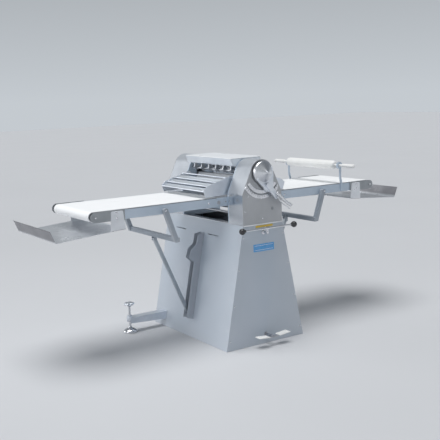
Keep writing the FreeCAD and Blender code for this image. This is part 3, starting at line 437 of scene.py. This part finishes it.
def arced(points, radii, steps=6):
    # an outline with its corners rounded; a radius of 0 keeps the corner
    outline = []
    count = len(points)
    for index, radius in enumerate(radii):
        here = Vector(points[index])
        before, after = Vector(points[index - 1]), Vector(points[(index + 1) % count])
        if not radius:
            outline.append(tuple(here))
            continue
        toBefore, toAfter = (before - here).normalized(), (after - here).normalized()
        half = toBefore.angle(toAfter) / 2
        cut = min(radius / math.tan(half), 0.48 * (before - here).length, 0.48 * (after - here).length)
        radius = cut * math.tan(half)
        middle = here + (toBefore + toAfter).normalized() * math.hypot(cut, radius)
        first, last = here + toBefore * cut - middle, here + toAfter * cut - middle
        sweep = first.angle_signed(last) if first.length > 0 else 0
        for step in range(steps + 1):
            angle = -sweep * step / steps
            turned = Vector((first.x * math.cos(angle) - first.y * math.sin(angle),
                             first.x * math.sin(angle) + first.y * math.cos(angle)))
            outline.append(tuple(middle + turned))
    return outline


def skinned(mesh, rings):
    # four-sided faces between each closed ring of points and the next
    for first, second in zip(rings, rings[1:]):
        for index in range(len(first)):
            nextOne = (index + 1) % len(first)
            mesh.faces.new((first[index], first[nextOne], second[nextOne], second[index]))


def plate(mesh, outline, near, far):
    # an (x, z) outline, raised along Y
    rings = [[mesh.verts.new((x, y, z)) for x, z in outline] for y in (near, far)]
    mesh.faces.new(rings[0])
    mesh.faces.new(rings[1][::-1])
    skinned(mesh, rings)


def lathe(mesh, profile, at, axis, steps=64, lobes=0, lobeDepth=0.0):
    # (radius, height) points spun about an axis; lobes waves the radius for a hand wheel
    axis = Vector(axis).normalized()
    side = axis.orthogonal().normalized()
    other = axis.cross(side)
    rings = []
    for radius, height in profile:
        base = Vector(at) + axis * height
        if radius == 0:
            rings.append([mesh.verts.new(base)])
            continue
        ring = []
        for step in range(steps):
            angle = math.tau * step / steps
            wide = radius * (1 + lobeDepth * (math.cos(lobes * angle) - 1)) if lobes else radius
            spoke = side * math.cos(angle) + other * math.sin(angle)
            ring.append(mesh.verts.new(base + spoke * wide))
        rings.append(ring)
    for lower, upper in zip(rings, rings[1:]):
        for step in range(steps):
            nextStep = (step + 1) % steps
            if len(lower) == 1 and len(upper) == 1:
                continue
            if len(lower) == 1:
                mesh.faces.new((lower[0], upper[nextStep], upper[step]))
            elif len(upper) == 1:
                mesh.faces.new((lower[step], lower[nextStep], upper[0]))
            else:
                mesh.faces.new((lower[step], lower[nextStep], upper[nextStep], upper[step]))


def domed(radius, low, high, corner, steps=5):
    # the profile of a bar with rounded ends
    turns = [math.pi / 2 * step / steps for step in range(steps + 1)]
    flat = radius - corner
    bottom = [(flat + corner * math.sin(angle), low + corner * (1 - math.cos(angle))) for angle in turns]
    top = [(flat + corner * math.cos(angle), high - corner * (1 - math.sin(angle))) for angle in turns]
    return [(0, low), *bottom, *top, (0, high)]


def bar(mesh, radius, length, corner, at, axis, steps=32):
    # a round bar, sizes in mm and its start in metres
    lathe(mesh, domed(radius * mm, 0, length * mm, corner * mm), at, axis, steps)


def tube(mesh, line, radii, steps=28):
    # a round bar swept along a line of points, with a radius at each
    rings = []
    for index, (point, radius) in enumerate(zip(line, radii)):
        before, after = line[max(index - 1, 0)], line[min(index + 1, len(line) - 1)]
        along = (after - before).normalized()
        side = along.cross(backAxis).normalized()
        other = along.cross(side)
        ring = []
        for step in range(steps):
            angle = math.tau * step / steps
            ring.append(mesh.verts.new(point + (side * math.cos(angle) + other * math.sin(angle)) * radius))
        rings.append(ring)
    skinned(mesh, rings)
    mesh.faces.new(rings[0])
    mesh.faces.new(rings[-1])


def bent(mesh, line, gauge, near, far, spans=12, hollowing=0.0):
    # a folded sheet: a line of (x, z) points given a thickness and drawn out along Y
    count = len(line)
    offsets = []
    for index in range(count):
        here = Vector(line[index])
        before = Vector(line[max(index - 1, 0)])
        after = Vector(line[min(index + 1, count - 1)])
        along = (after - before).normalized()
        offsets.append(here + Vector((-along.y, along.x)) * gauge)
    section = [*line, *[tuple(point) for point in reversed(offsets)]]
    rows = []
    for span in range(spans + 1):
        share = span / spans
        y = near + (far - near) * share
        dip = hollowing * math.sin(math.pi * share)
        rows.append([mesh.verts.new((x, y, z - dip)) for x, z in section])
    skinned(mesh, rows)
    for index in range(count - 1):
        mirror = 2 * count - 1 - index
        mesh.faces.new((rows[0][index], rows[0][mirror], rows[0][mirror - 1], rows[0][index + 1]))
        mesh.faces.new((rows[-1][index], rows[-1][index + 1], rows[-1][mirror - 1], rows[-1][mirror]))


def mirroredLine(sign, points):
    return [(sign * x * mm, z * mm) for x, z in points]


def inMetres(points):
    return [(first * mm, second * mm) for first, second in points]


def circled(middle, reach, angle):
    # the (x, z) point at this reach and angle, in degrees, from a middle in mm
    angle = math.radians(angle)
    return (middle[0] + reach * math.cos(angle)) * mm, (middle[1] + reach * math.sin(angle)) * mm


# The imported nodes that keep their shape
# each node: its finish, and the round on its edges in mm
nodeFinish = {
    "base_frame": ("frameGrey", 0.8), "end_panels": ("panelPaint", 0.7),
    "side_panels": ("panelPaint", 0.7), "top_deck": ("bedSteel", 0.9),
    "strut_channels": ("channelPaintShaded", 0.9), "side_plates": ("railMetal", 1.2),
    "housing_wraps": ("wrapSteel", 0.7), "housing_covers": ("coverSteel", 0.7),
    "tie_bars": ("hookSteel", 0.8), "feed_plates": ("bedSteel", 0.5),
    "lower_roller": ("rollerChrome", 0.8), "upper_roller": ("rollerChrome", 0.8),
    "lower_gear": ("machinedSteel", 0), "upper_gear": ("machinedSteel", 0),
    "roller_carriage": ("machinedSteel", 0.8), "upper_scrapers": ("lidWhite", 0.2),
    "drive_motor": ("castGrey", 1.5), "gearbox": ("castGrey", 1.5),
    "drive_sprocket": ("machinedSteel", 0.5), "lower_sprocket": ("machinedSteel", 0.5),
    "drive_chain": ("frameGrey", 0.6), "electrical_box": ("frameGrey", 1.5),
    "cable_gland": ("knobBlack", 0.6), "cover_screws": ("chromeBar", 0.4),
    "outrigger_arm": ("guardSteel", 0.8), "pin_brackets": ("railMetal", 0.8),
    "scale_arcs": ("arcSteel", 2.2),
}
tableFinish = {
    "rails": ("railMetal", 0.9), "end_plates": ("capMetal", 0.9), "bed": ("bedSteel", 0.5),
    "drive_roller": ("machinedSteel", 0.8), "end_roller": ("machinedSteel", 0.8),
    "yoke": ("yokePaint", 2.2), "strut": ("strutSteel", 1.2), "table_bolts": ("chromeBar", 0.4),
}


def dressNodes():
    looks = dict(nodeFinish)
    for side, sign in sides:
        looks |= {f"{side}_{word}": look for word, look in tableFinish.items()}
    for node, (finish, edge) in looks.items():
        piece = frame["nodes"][node]
        for holder in piece.material_slots:
            holder.material = finishes[finish]
        if edge:
            softened(piece, edge * mm)
    print("dressed", len(looks), "frame nodes")


# Belts
beltShape = {"gauge": 3.0, "sag": 5.0, "edgeRound": 1.3, "turnSteps": 20, "runSteps": 34, "acrossSteps": 10,
             "spliceAt": 0.62}


def turnRound(x, z, radius, start, steps):
    # half a turn of the loop about a roller
    angles = [start - math.pi * step / steps for step in range(steps)]
    ways = [(math.cos(angle), math.sin(angle)) for angle in angles]
    return [((x + radius * way[0], z + radius * way[1]), way) for way in ways]


def belt(side, sign, look):
    low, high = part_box(f"{side}_belt")
    gauge, edge = look["gauge"] * mm, look["edgeRound"] * mm
    radius = (high.z - low.z) / 2 - gauge / 2  # to the middle of the cloth
    height = (high.z + low.z) / 2
    near, far = sorted((abs(low.x), abs(high.x)))
    near, far = near + radius + gauge / 2, far - radius - gauge / 2
    line = []  # ((x, z), outward direction) round the loop
    runSteps = look["runSteps"]
    for step in range(runSteps):
        line.append(((near + (far - near) * step / runSteps, height + radius), (0, 1)))
    line += turnRound(far, height, radius, math.pi / 2, look["turnSteps"])
    for step in range(runSteps):
        share = step / runSteps
        dip = look["sag"] * mm * math.sin(math.pi * share) ** 2
        line.append(((far - (far - near) * share, height - radius - dip), (0, -1)))
    line += turnRound(near, height, radius, -math.pi / 2, look["turnSteps"])
    section = []  # (y, outward offset) round the cloth
    flat, corner = high.y - low.y - 2 * edge, 0.3 * edge
    shares = [step / look["acrossSteps"] for step in range(look["acrossSteps"] + 1)]
    section += [(low.y + edge + flat * share, gauge / 2) for share in shares]
    section += [(high.y - corner, gauge / 2 - corner), (high.y, 0), (high.y - corner, corner - gauge / 2)]
    section += [(high.y - edge - flat * share, -gauge / 2) for share in shares]
    section += [(low.y + corner, corner - gauge / 2), (low.y, 0), (low.y + corner, gauge / 2 - corner)]
    mesh = bmesh.new()
    rows = [[mesh.verts.new((sign * (x + out * wayX), y, z + out * wayZ)) for y, out in section]
            for (x, z), (wayX, wayZ) in line]
    skinned(mesh, [*rows, rows[0]])
    splice = sign * (near + look["spliceAt"] * (far - near))
    cloth = beltCloth(f"{side}BeltCloth", beltLook | {"splice": splice})
    piece = made(f"{side}Belt", mesh, f"{side}_belt", cloth, replace=[f"{side}_belt"])


# Catch trays
trayShape = {"line": ((885, 833), (1322, 800), (1350, 870)), "bend": 9, "gauge": 2, "hem": 5, "hollow": 1.2,
             "hanger": ((885, 832), (981, 826), (975, 944), (898, 944)), "hangerRound": (0, 0, 10, 10)}


def catchTray(side, sign, look):
    low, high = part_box(f"{side}_catch_tray")
    start, corner, tip = look["line"]
    line = arced([start, corner, tip], [0, look["bend"], 0], 8)
    for step in range(1, 5):  # the hem rolled back at the lip
        angle = step * math.pi / 5
        x = tip[0] + look["hem"] * (1 - math.cos(angle)) / 2 - 1
        line.append((x, tip[1] + 2 * math.sin(angle) - 1))
    gauge = look["gauge"] * mm
    mesh = bmesh.new()
    bent(mesh, mirroredLine(sign, line), sign * gauge, low.y, high.y, 16, look["hollow"] * mm)
    hanger = mirroredLine(sign, arced(look["hanger"], look["hangerRound"], 5))
    for y in (low.y, high.y - gauge):
        plate(mesh, hanger, y, y + gauge)
    made(f"{side}CatchTray", mesh, f"{side}_catch_tray", finishes["traySteelShadedLip"], edge=0.6 * mm,
         replace=[f"{side}_catch_tray"])


# Finger guards
guardShape = {"plate": ((88, 1074), (147, 960), (306, 954), (322, 1000), (290, 1023), (112, 1075)),
              "plateRound": (9, 4, 3, 3, 7, 8), "gauge": 3, "frontIn": 24, "rearIn": 16,
              "rimLine": ((321, 1001), (290, 1022), (112, 1073.5)), "rim": 9, "rimBend": 14, "rimGauge": 2,
              "bars": ((315, 994), (277, 1021), (219, 1043), (150, 1066)), "barRadius": 5.2, "barProud": 1,
              "strips": ((296, 1003), (247, 1026), (184, 1048)), "stripArch": 3.2, "stripWidth": 34,
              "stripFall": 13, "stripGauge": 1.5, "pin": (100, 1062), "pinRadius": 6, "pinLength": 26,
              "pinFront": 22, "pinRear": 14, "pinHead": 10, "pinHeadHigh": 3}


def guard(side, sign, look):
    gauge, plates = look["gauge"] * mm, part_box("side_plates")
    front, rear = plates[0].y + look["frontIn"] * mm, plates[1].y - look["rearIn"] * mm
    mesh = bmesh.new()
    outline = mirroredLine(sign, arced(look["plate"], look["plateRound"], 5))
    for y in (front, rear - gauge):
        plate(mesh, outline, y, y + gauge)
    rimLine = mirroredLine(sign, arced(look["rimLine"], [0, look["rimBend"], 0], 5))
    rim = look["rim"] * mm
    for start, end in ((front, front + rim), (rear - rim, rear)):  # the turned-in rim along the top edge
        bent(mesh, rimLine, -sign * look["rimGauge"] * mm, start, end, 1)
    proud = look["barProud"] * mm
    for x, z in look["bars"]:
        start, length = (sign * x * mm, front - proud, z * mm), (rear - front + 2 * proud) / mm
        bar(mesh, look["barRadius"], length, 0.8, start, backAxis, steps=28)
    x, z = look["pin"][0] * sign * mm, look["pin"][1] * mm
    for y, way in ((front - look["pinFront"] * mm, 1), (rear + look["pinRear"] * mm, -1)):
        axis, head = backAxis * way, y + way * (look["pinLength"] - 1) * mm
        bar(mesh, look["pinRadius"], look["pinLength"], 1, (x, y, z), axis, steps=28)
        bar(mesh, look["pinHead"], look["pinHeadHigh"], 1, (x, head, z), axis, steps=28)
    made(f"{side}Guard", mesh, f"{side}_guard", finishes["guardSteel"], edge=0.5 * mm,
         replace=[f"{side}_guard"])

    mesh = bmesh.new()
    wide = look["stripWidth"]
    for x, z in look["strips"]:
        line = []
        for step in range(9):
            share = step / 8
            rise = look["stripArch"] * math.sin(math.pi * share)
            line.append((x - wide / 2 + wide * share, z + 4 - look["stripFall"] * share + rise))
        thick = sign * look["stripGauge"] * mm
        bent(mesh, mirroredLine(sign, line), thick, front + 1 * mm, rear - 1 * mm, 2)
    made(f"{side}GuardStrips", mesh, f"{side}_guard", finishes["hopperSteel"], edge=0.5 * mm)


# Flour tray and its lid
flourShape = {"gauge": 2, "bottomHalf": 102, "bend": 6, "lidGap": 0.8}
lidShape = {"round": 18, "edge": 2.1, "crown": ((16, 0.4), (40, 0.9))}


def flourTray(look):
    low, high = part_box("flour_tray")
    gauge, half, bend = (look[word] * mm for word in ("gauge", "bottomHalf", "bend"))
    top = high.z - look["lidGap"] * mm
    mesh = bmesh.new()
    line = arced([(high.x, top), (half, low.z), (-half, low.z), (low.x, top)], [0, bend, bend, 0], 6)
    bent(mesh, line, -gauge, low.y, high.y, 2)
    ends = [(low.x, top), (high.x, top), (half, low.z), (-half, low.z)]
    for y in (low.y, high.y - gauge):
        plate(mesh, arced(ends, [0, 0, bend, bend], 6), y, y + gauge)
    made("flourTrough", mesh, "flour_tray", finishes["hopperSteel"], edge=0.5 * mm, replace=["flour_tray"])


def flourLid(look):
    low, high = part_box("flour_lid")
    middle, half = (low + high) / 2, (high - low) / 2
    edge = look["edge"] * mm
    corners = [(low.x, low.y), (high.x, low.y), (high.x, high.y), (low.x, high.y)]
    outline = arced(corners, [look["round"] * mm] * 4, 7)
    levels = [(0, low.z), (0, high.z - edge), (0.3 * edge, high.z - 0.4 * edge), (edge, high.z)]
    levels += [(inset * mm, high.z + rise * mm) for inset, rise in look["crown"]]
    mesh = bmesh.new()
    rows = []
    for inset, z in levels:
        shareX, shareY = 1 - inset / half.x, 1 - inset / half.y
        rows.append([])
        for x, y in outline:
            place = (middle.x + (x - middle.x) * shareX, middle.y + (y - middle.y) * shareY, z)
            rows[-1].append(mesh.verts.new(place))
    skinned(mesh, rows)
    mesh.faces.new(rows[0])
    mesh.faces.new(rows[-1])
    made("flourLid", mesh, "flour_lid", finishes["lidWhite"], replace=["flour_lid"], smoothBelow=60)


# Thickness lever
# places on the lever are (along, across) in mm from the dial's middle
# words ending in Out say how far it is in front of the cover
leverShape = {
    "drop": 50, "height": 1100, "dialRadius": 73, "aside": -36, "reach": 185,
    "wedge": ((-10, -72), (95, -66), (124, -52), (124, -20), (62, 39), (12, 71)),
    "wedgeRound": (4, 24, 8, 8, 40, 4), "wedgeOut": (10, 30),
    "bar": ((58, -17), (0, -18), (0, 14), (58, 17)), "barRound": (12, 11, 11, 16), "barOut": (30, 46),
    "grip": ((143, -30), (160, -27), (195, -20), (230, -17), (262, -9), (291, 1)), "gripRadius": 10,
    "gripOut": 54, "gripEnd": (0.62, 0.88, 0.97), "gripSteps": 8,
    "trigger": ((165, -47), (230, -44), (300, -25), (299, -19), (230, -38), (165, -40)),
    "triggerRound": (3, 60, 3, 3, 60, 3), "triggerOut": (49, 61),
}


def leverSpot(along, across, look):
    angle = math.radians(look["drop"])
    return ((along * math.cos(angle) + across * math.sin(angle)) * mm,
            (look["height"] - along * math.sin(angle) + across * math.cos(angle)) * mm)


def leverPlate(name, node, spots, rounds, out, finish, edge, look, replace=()):
    # a flat part of the lever, between two distances in front of the cover
    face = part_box("housing_covers")[0].y
    mesh = bmesh.new()
    corners = [leverSpot(along, across, look) for along, across in spots]
    outline = arced(corners, [corner * mm for corner in rounds], 5 if replace else 6)
    plate(mesh, outline, face - out[1] * mm, face - out[0] * mm)
    made(name, mesh, node, finish, edge * mm, replace=replace)


def curved(line, steps):
    # a smooth curve through a few points
    smooth = []
    for index in range(len(line) - 1):
        before, after = line[max(index - 1, 0)], line[min(index + 2, len(line) - 1)]
        start, end = line[index], line[index + 1]
        for step in range(steps):
            share = step / steps
            square = (before * 2 - start * 5 + end * 4 - after) * share ** 2
            cube = (start * 3 - before - end * 3 + after) * share ** 3
            smooth.append((start * 2 + (end - before) * share + square + cube) / 2)
    return [*smooth, line[-1]]


def thicknessLever(look):
    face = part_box("housing_covers")[0].y
    middle = (0, face, look["height"] * mm)
    radius = look["dialRadius"]
    rim = [(0, 8), (radius, 8), (radius, 20), (radius - 0.6, 21.6), (radius - 3.6, 26.2), (radius - 5, 27),
           (radius - 8, 27.4), (radius - 9, 26.4), (radius - 11, 27.6)]
    boss = [(20, 55), (18, 57), (16, 57.4), (15, 56.4), (13, 58), (12, 62.6), (11, 63.6), (0, 64)]
    mesh = bmesh.new()
    lathe(mesh, inMetres([*rim, *boss]), middle, -backAxis, steps=96)
    dialSteelPaintedHighlight = turnedSteelPaintedHighlight("dialSteelPaintedHighlight", dialLook | {"middle": middle})
    made("leverDial", mesh, "gap_lever", dialSteelPaintedHighlight, replace=["gap_lever"], smoothBelow=25)

    steel = finishes["leverSteel"]
    leverPlate("leverWedge", "gap_lever", look["wedge"], look["wedgeRound"], look["wedgeOut"],
               steel, 1.5, look)
    spots = [(along or look["reach"], look["aside"] + across) for along, across in look["bar"]]
    leverPlate("leverBar", "gap_lever", spots, look["barRound"], look["barOut"], steel, 1.5, look)

    spots = [leverSpot(along, across, look) for along, across in look["grip"]]
    line = curved([Vector((x, face - look["gripOut"] * mm, z)) for x, z in spots], look["gripSteps"])
    radii = [look["gripRadius"] * mm] * len(line)
    for index, share in enumerate(look["gripEnd"]):  # rounded ends
        radii[index] *= share
        radii[-1 - index] *= share
    mesh = bmesh.new()
    tube(mesh, line, radii)
    made("leverGrip", mesh, "gap_lever", finishes["arcSteel"], smoothBelow=60)
    leverPlate("leverTrigger", "lever_trigger", look["trigger"], look["triggerRound"], look["triggerOut"],
               finishes["arcSteel"], 2.2, look, ["lever_trigger"])


# Control rod with its knobs
rodShape = {"radius": 6, "length": 366, "start": -170, "height": 752, "pivot": 725, "out": 40,
            "clamp": ((0, -17), (8, -17), (10, -15), (10, 15), (8, 17), (0, 17)),
            "pinRadius": 9, "pinLength": 46, "washerRadius": 17, "washerHigh": 5.4,
            "knobRadius": 20, "knobMiddle": 13, "knobOut": 203, "knobSteps": 16,
            "neck": ((0, 14), (9, 14), (9, 24), (8, 25), (0, 25))}


def controlRod(look):
    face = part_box("housing_covers")[0].y
    height, low, y = look["height"] * mm, look["pivot"] * mm, face - look["out"] * mm
    acrossAxis = (1, 0, 0)
    mesh = bmesh.new()
    bar(mesh, look["radius"], look["length"], 1, (look["start"] * mm, y, height), acrossAxis)
    lathe(mesh, inMetres(look["clamp"]), (0, y, height), acrossAxis, steps=32)
    hanger = [(-9 * mm, low - 9 * mm), (9 * mm, low - 9 * mm), (7 * mm, height), (-7 * mm, height)]
    plate(mesh, arced(hanger, [8 * mm, 8 * mm, 5 * mm, 5 * mm], 5), y - 4 * mm, y + 4 * mm)
    bar(mesh, look["pinRadius"], look["pinLength"], 1.5, (0, y - 6 * mm, low), backAxis)
    bar(mesh, look["washerRadius"], look["washerHigh"], 1.5, (0, face - 6 * mm, low), backAxis, steps=40)
    made("controlRod", mesh, "control_rod", finishes["chromeBar"], edge=0.5 * mm, replace=["control_rod"])

    radius, steps = look["knobRadius"], look["knobSteps"]
    ball = [(0, -radius)]
    for step in range(1, steps):
        angle = math.pi * step / steps
        ball.append((radius * math.sin(angle), -radius * math.cos(angle)))
    ball.append((0, radius))
    mesh = bmesh.new()
    for side, sign in sides:
        middle = ((look["knobMiddle"] + sign * look["knobOut"]) * mm, y, height)
        lathe(mesh, inMetres(ball), middle, acrossAxis, steps=40)
        lathe(mesh, inMetres(look["neck"]), middle, (-sign, 0, 0), steps=32)
    made("controlKnobs", mesh, "control_knobs", finishes["knobBlack"], replace=["control_knobs"])


# Pedal
pedalShape = {"height": 60, "axle": 9, "axleLength": 84, "axleStart": 76, "washer": 15, "washerHigh": 5,
              "beamHalf": 46, "beamOut": (70, 84), "treadFrom": 38, "treadTo": 122, "treadRise": 8,
              "treadThick": 6, "treadOut": (50, 100), "ribs": 5, "ribFirst": 50, "ribStep": 15}


def pedal(look):
    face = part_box("housing_covers")[0].y
    height, rise = look["height"], look["treadRise"]
    mesh = bmesh.new()
    start = (0, face - look["axleStart"] * mm, height * mm)
    bar(mesh, look["axle"], look["axleLength"], 2, start, backAxis)
    bar(mesh, look["washer"], look["washerHigh"], 1.5, (0, face - 6 * mm, height * mm), backAxis, steps=36)
    half, (near, far) = look["beamHalf"], look["beamOut"]
    beam = [(-half, height - 6), (half, height - 6), (half, height + 4), (-half, height + 4)]
    plate(mesh, arced(inMetres(beam), [4 * mm] * 4, 4), face - far * mm, face - near * mm)
    made("pedalBeam", mesh, "pedal", finishes["machinedSteel"], edge=1 * mm, replace=["pedal"])

    mesh = bmesh.new()
    start, end, thick = look["treadFrom"], look["treadTo"], look["treadThick"]
    near, far = look["treadOut"]
    for side, sign in sides:
        tread = [(start, height + 2), (end, height + 2 + rise), (end, height + 2 + rise + thick),
                 (start, height + 2 + thick)]
        plate(mesh, mirroredLine(sign, arced(tread, [2, 2, 3, 3], 4)), face - far * mm, face - near * mm)
        for index in range(look["ribs"]):  # raised grip ribs across the tread
            x = look["ribFirst"] + index * look["ribStep"]
            z = height + 8.4 + (x - start) * rise / (end - start)
            rib = mirroredLine(sign, [(x, z - 1), (x + 5, z - 0.5), (x + 4, z + 1.6), (x + 1, z + 1.3)])
            plate(mesh, rib, face - (far - 4) * mm, face - (near + 4) * mm)
    made("pedalTreads", mesh, "pedal", finishes["pinWhite"], edge=1.2 * mm)


# Stabilising foot
# (radius, height) points in mm
footShape = {
    "pad": ((0, 0), (46, 0), (48.6, 2), (49.4, 5), (49, 8.5), (47, 12), (42, 17), (35, 22), (27, 26),
            (20, 29), (15, 31), (14, 33), (13, 34), (0, 34)),
    "collar": ((0, 34.3), (10, 34.3), (11.5, 36), (11.5, 40), (10, 41.6)),
    "threadLow": 42, "threadHigh": 176, "pitch": 4, "crest": 8, "root": 7.1,
    "screwTop": ((8, 178), (12, 178), (13, 186), (13, 190), (0, 190)),
    "wheel": ((0, 188), (14, 188), (28, 189), (34, 191.5), (37, 196), (37, 200), (35, 204), (29, 206.5),
              (18, 204), (13, 206), (0, 206.5)), "lobes": 6, "lobeDepth": 0.10,
}


def stabiliser(look):
    low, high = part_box("foot_pad")
    at = ((low.x + high.x) / 2, (low.y + high.y) / 2, 0)
    mesh = bmesh.new()
    lathe(mesh, inMetres(look["pad"]), at, upAxis, steps=64)
    made("footPad", mesh, "foot_pad", finishes["chromeBar"], replace=["foot_pad"], smoothBelow=30)
    pitch = look["pitch"]
    thread = []
    for height in range(look["threadLow"], look["threadHigh"], pitch):
        thread += [(look["crest"], height), (look["root"], height + pitch / 2)]
    mesh = bmesh.new()
    lathe(mesh, inMetres([*look["collar"], *thread, *look["screwTop"]]), at, upAxis, steps=40)
    made("footScrew", mesh, "foot_spindle", finishes["chromeBar"], replace=["foot_spindle"], smoothBelow=50)
    mesh = bmesh.new()
    lathe(mesh, inMetres(look["wheel"]), at, upAxis, 96, look["lobes"], look["lobeDepth"])
    made("footWheel", mesh, "foot_spindle", finishes["leverSteel"], smoothBelow=50)


# Rolling pin on the right table
pinShape = {"radius": 31, "neck": 20, "bore": 9.1, "chamfer": 1.2, "shoulder": 30, "shoulderSteps": 8,
            "shank": 316, "reach": 430}


def rollingPin(look):
    low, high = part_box("rolling_pin")
    half, radius, neck = (high.y - low.y) / 2 / mm, look["radius"], look["neck"]
    ends = [(neck - 2, 0), (neck, look["chamfer"])]
    for step in range(1, look["shoulderSteps"] + 1):
        angle = math.pi / 2 * step / look["shoulderSteps"]
        ends.append((neck + (radius - neck) * math.sin(angle),
                     look["shoulder"] * (1 - math.cos(angle)) + look["chamfer"]))
    profile = [(look["bore"], -half), *[(wide, -half + along) for wide, along in ends]]
    profile += [(wide, half - along) for wide, along in reversed(ends)]
    profile += [(look["bore"], half), (look["bore"], -half)]
    mesh = bmesh.new()
    lathe(mesh, inMetres(profile), (low + high) / 2, backAxis, steps=72)
    bmesh.ops.remove_doubles(mesh, verts=mesh.verts, dist=micron)
    made("rollingPin", mesh, "rolling_pin", finishes["pinWhite"], replace=["rolling_pin"], smoothBelow=45)

    low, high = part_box("pin_handles")
    reach, shank = look["reach"], look["shank"]
    handle = [(0, -reach), (8, -reach), (10.6, 1.4 - reach), (12.2, 4 - reach), (13, 9 - reach),
              (13, -shank - 16), (12.4, -shank - 7), (11, -shank - 2), (9, -shank)]
    profile = [*handle, *[(wide, -along) for wide, along in reversed(handle)]]
    mesh = bmesh.new()
    lathe(mesh, inMetres(profile), (low + high) / 2, backAxis, steps=48)
    made("pinHandles", mesh, "pin_handles", finishes["pinWhite"], replace=["pin_handles"], smoothBelow=40)


# Plain scale round the dial with painted shade in its grooves, cover plug, lip of the deck painted white as
# a highlight
scaleShape = {"middle": (0, 1100), "marks": 17, "first": 217, "last": 318, "markLow": 143, "markHigh": 150,
              "longMark": 156, "markHalf": 0.8, "proud": 0.7, "arcThick": 6,
              "grooves": ((105, 109.2), (134, 140)), "groovesFrom": 213, "groovesTo": 323,
              "grooveSteps": 40}
plugShape = {"profile": ((0, 0), (10.5, 0), (10.5, 1.6), (9.2, 2.8), (5, 3.5), (0, 3.6)),
             "place": (77, 866)}
lipShape = {"half": 152, "low": 770, "high": 779, "depth": 9, "proud": 1, "corner": 3}


def dialScale(look):
    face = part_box("housing_covers")[0].y
    top = face - (look["arcThick"] + look["proud"]) * mm
    mesh, half = bmesh.new(), look["markHalf"] * mm
    for index in range(look["marks"]):
        angle = look["first"] + (look["last"] - look["first"]) * index / (look["marks"] - 1)
        far = look["longMark"] if index % 3 == 0 else look["markHigh"]
        sideX, sideZ = -half * math.sin(math.radians(angle)), half * math.cos(math.radians(angle))
        nearX, nearZ = circled(look["middle"], look["markLow"], angle)
        farX, farZ = circled(look["middle"], far, angle)
        mark = [(nearX - sideX, nearZ - sideZ), (farX - sideX, farZ - sideZ),
                (farX + sideX, farZ + sideZ), (nearX + sideX, nearZ + sideZ)]
        plate(mesh, mark, top, face - (look["arcThick"] - 1) * mm)
    made("scaleMarks", mesh, "scale_arcs", finishes["knobBlack"])

    mesh = bmesh.new()
    steps, sweep = look["grooveSteps"], look["groovesTo"] - look["groovesFrom"]
    angles = [look["groovesFrom"] + sweep * step / steps for step in range(steps + 1)]
    for inner, outer in look["grooves"]:  # painted shade: dark rings either side of the inner arc, standing in for the shadow in the grooves
        outline = [circled(look["middle"], inner, angle) for angle in angles]
        outline += [circled(look["middle"], outer, angle) for angle in reversed(angles)]
        plate(mesh, outline, face - 1 * mm, face + 0.5 * mm)
    made("scaleGrooveShade", mesh, "scale_arcs", finishes["castGrey"])


def coverPlug(look):
    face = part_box("housing_covers")[0].y
    x, z = look["place"]
    mesh = bmesh.new()
    lathe(mesh, inMetres(look["profile"]), (x * mm, face, z * mm), -backAxis, steps=32)
    made("coverPlug", mesh, "housing_covers", finishes["castGrey"], smoothBelow=50)


def deckLipHighlight(look):
    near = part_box("top_deck")[0].y
    half, low, high = look["half"], look["low"], look["high"]
    corners = inMetres([(-half, low), (half, low), (half, high), (-half, high)])
    outline = arced(corners, [look["corner"] * mm] * 4, 4)
    mesh = bmesh.new()
    plate(mesh, outline, near - look["proud"] * mm, near + look["depth"] * mm)
    # the rounded lip is the real folded edge; its white, brighter than the panel paint, is a painted
    # highlight along the top front edge
    made("deckLipHighlight", mesh, "top_deck", finishes["lidWhite"], edge=3.5 * mm)


# Plain plates on the front
# left, low, right, high in mm; then the finish and how much further it stands out
plateShape = {
    "blue": ((-80, 602, 82, 650), "plateBlue", 0.0), "line0": ((-70, 611, 72, 613), "plateWhite", 0.4),
    "line1": ((-70, 639, 72, 641), "plateWhite", 0.4), "yellow": ((-59, 755, 75, 768), "plateYellow", 0.0),
}
plateProud = 0.8


def frontPlates(look):
    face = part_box("end_panels")[0].y
    for name, (place, finish, out) in look.items():
        left, low, right, high = (value * mm for value in place)
        corner = min(3 * mm, 0.4 * (high - low))
        outline = arced([(left, low), (right, low), (right, high), (left, high)], [corner] * 4, 4)
        mesh = bmesh.new()
        plate(mesh, outline, face - (plateProud + out) * mm, face)
        made(f"{name}Plate", mesh, "end_panels", finishes[finish], edge=0.2 * mm)


camera(cameraLook)
lights(lightLook)
room(roomLook)
print("camera, lights and floor are set")
dressNodes()
for side, sign in sides:
    belt(side, sign, beltShape)
    catchTray(side, sign, trayShape)
    guard(side, sign, guardShape)
print("tables, trays and guards are made")
flourTray(flourShape)
flourLid(lidShape)
thicknessLever(leverShape)
controlRod(rodShape)
pedal(pedalShape)
print("head and controls are made")
stabiliser(footShape)
rollingPin(pinShape)
dialScale(scaleShape)
coverPlug(plugShape)
deckLipHighlight(lipShape)
frontPlates(plateShape)
print("foot, rolling pin and plates are made")
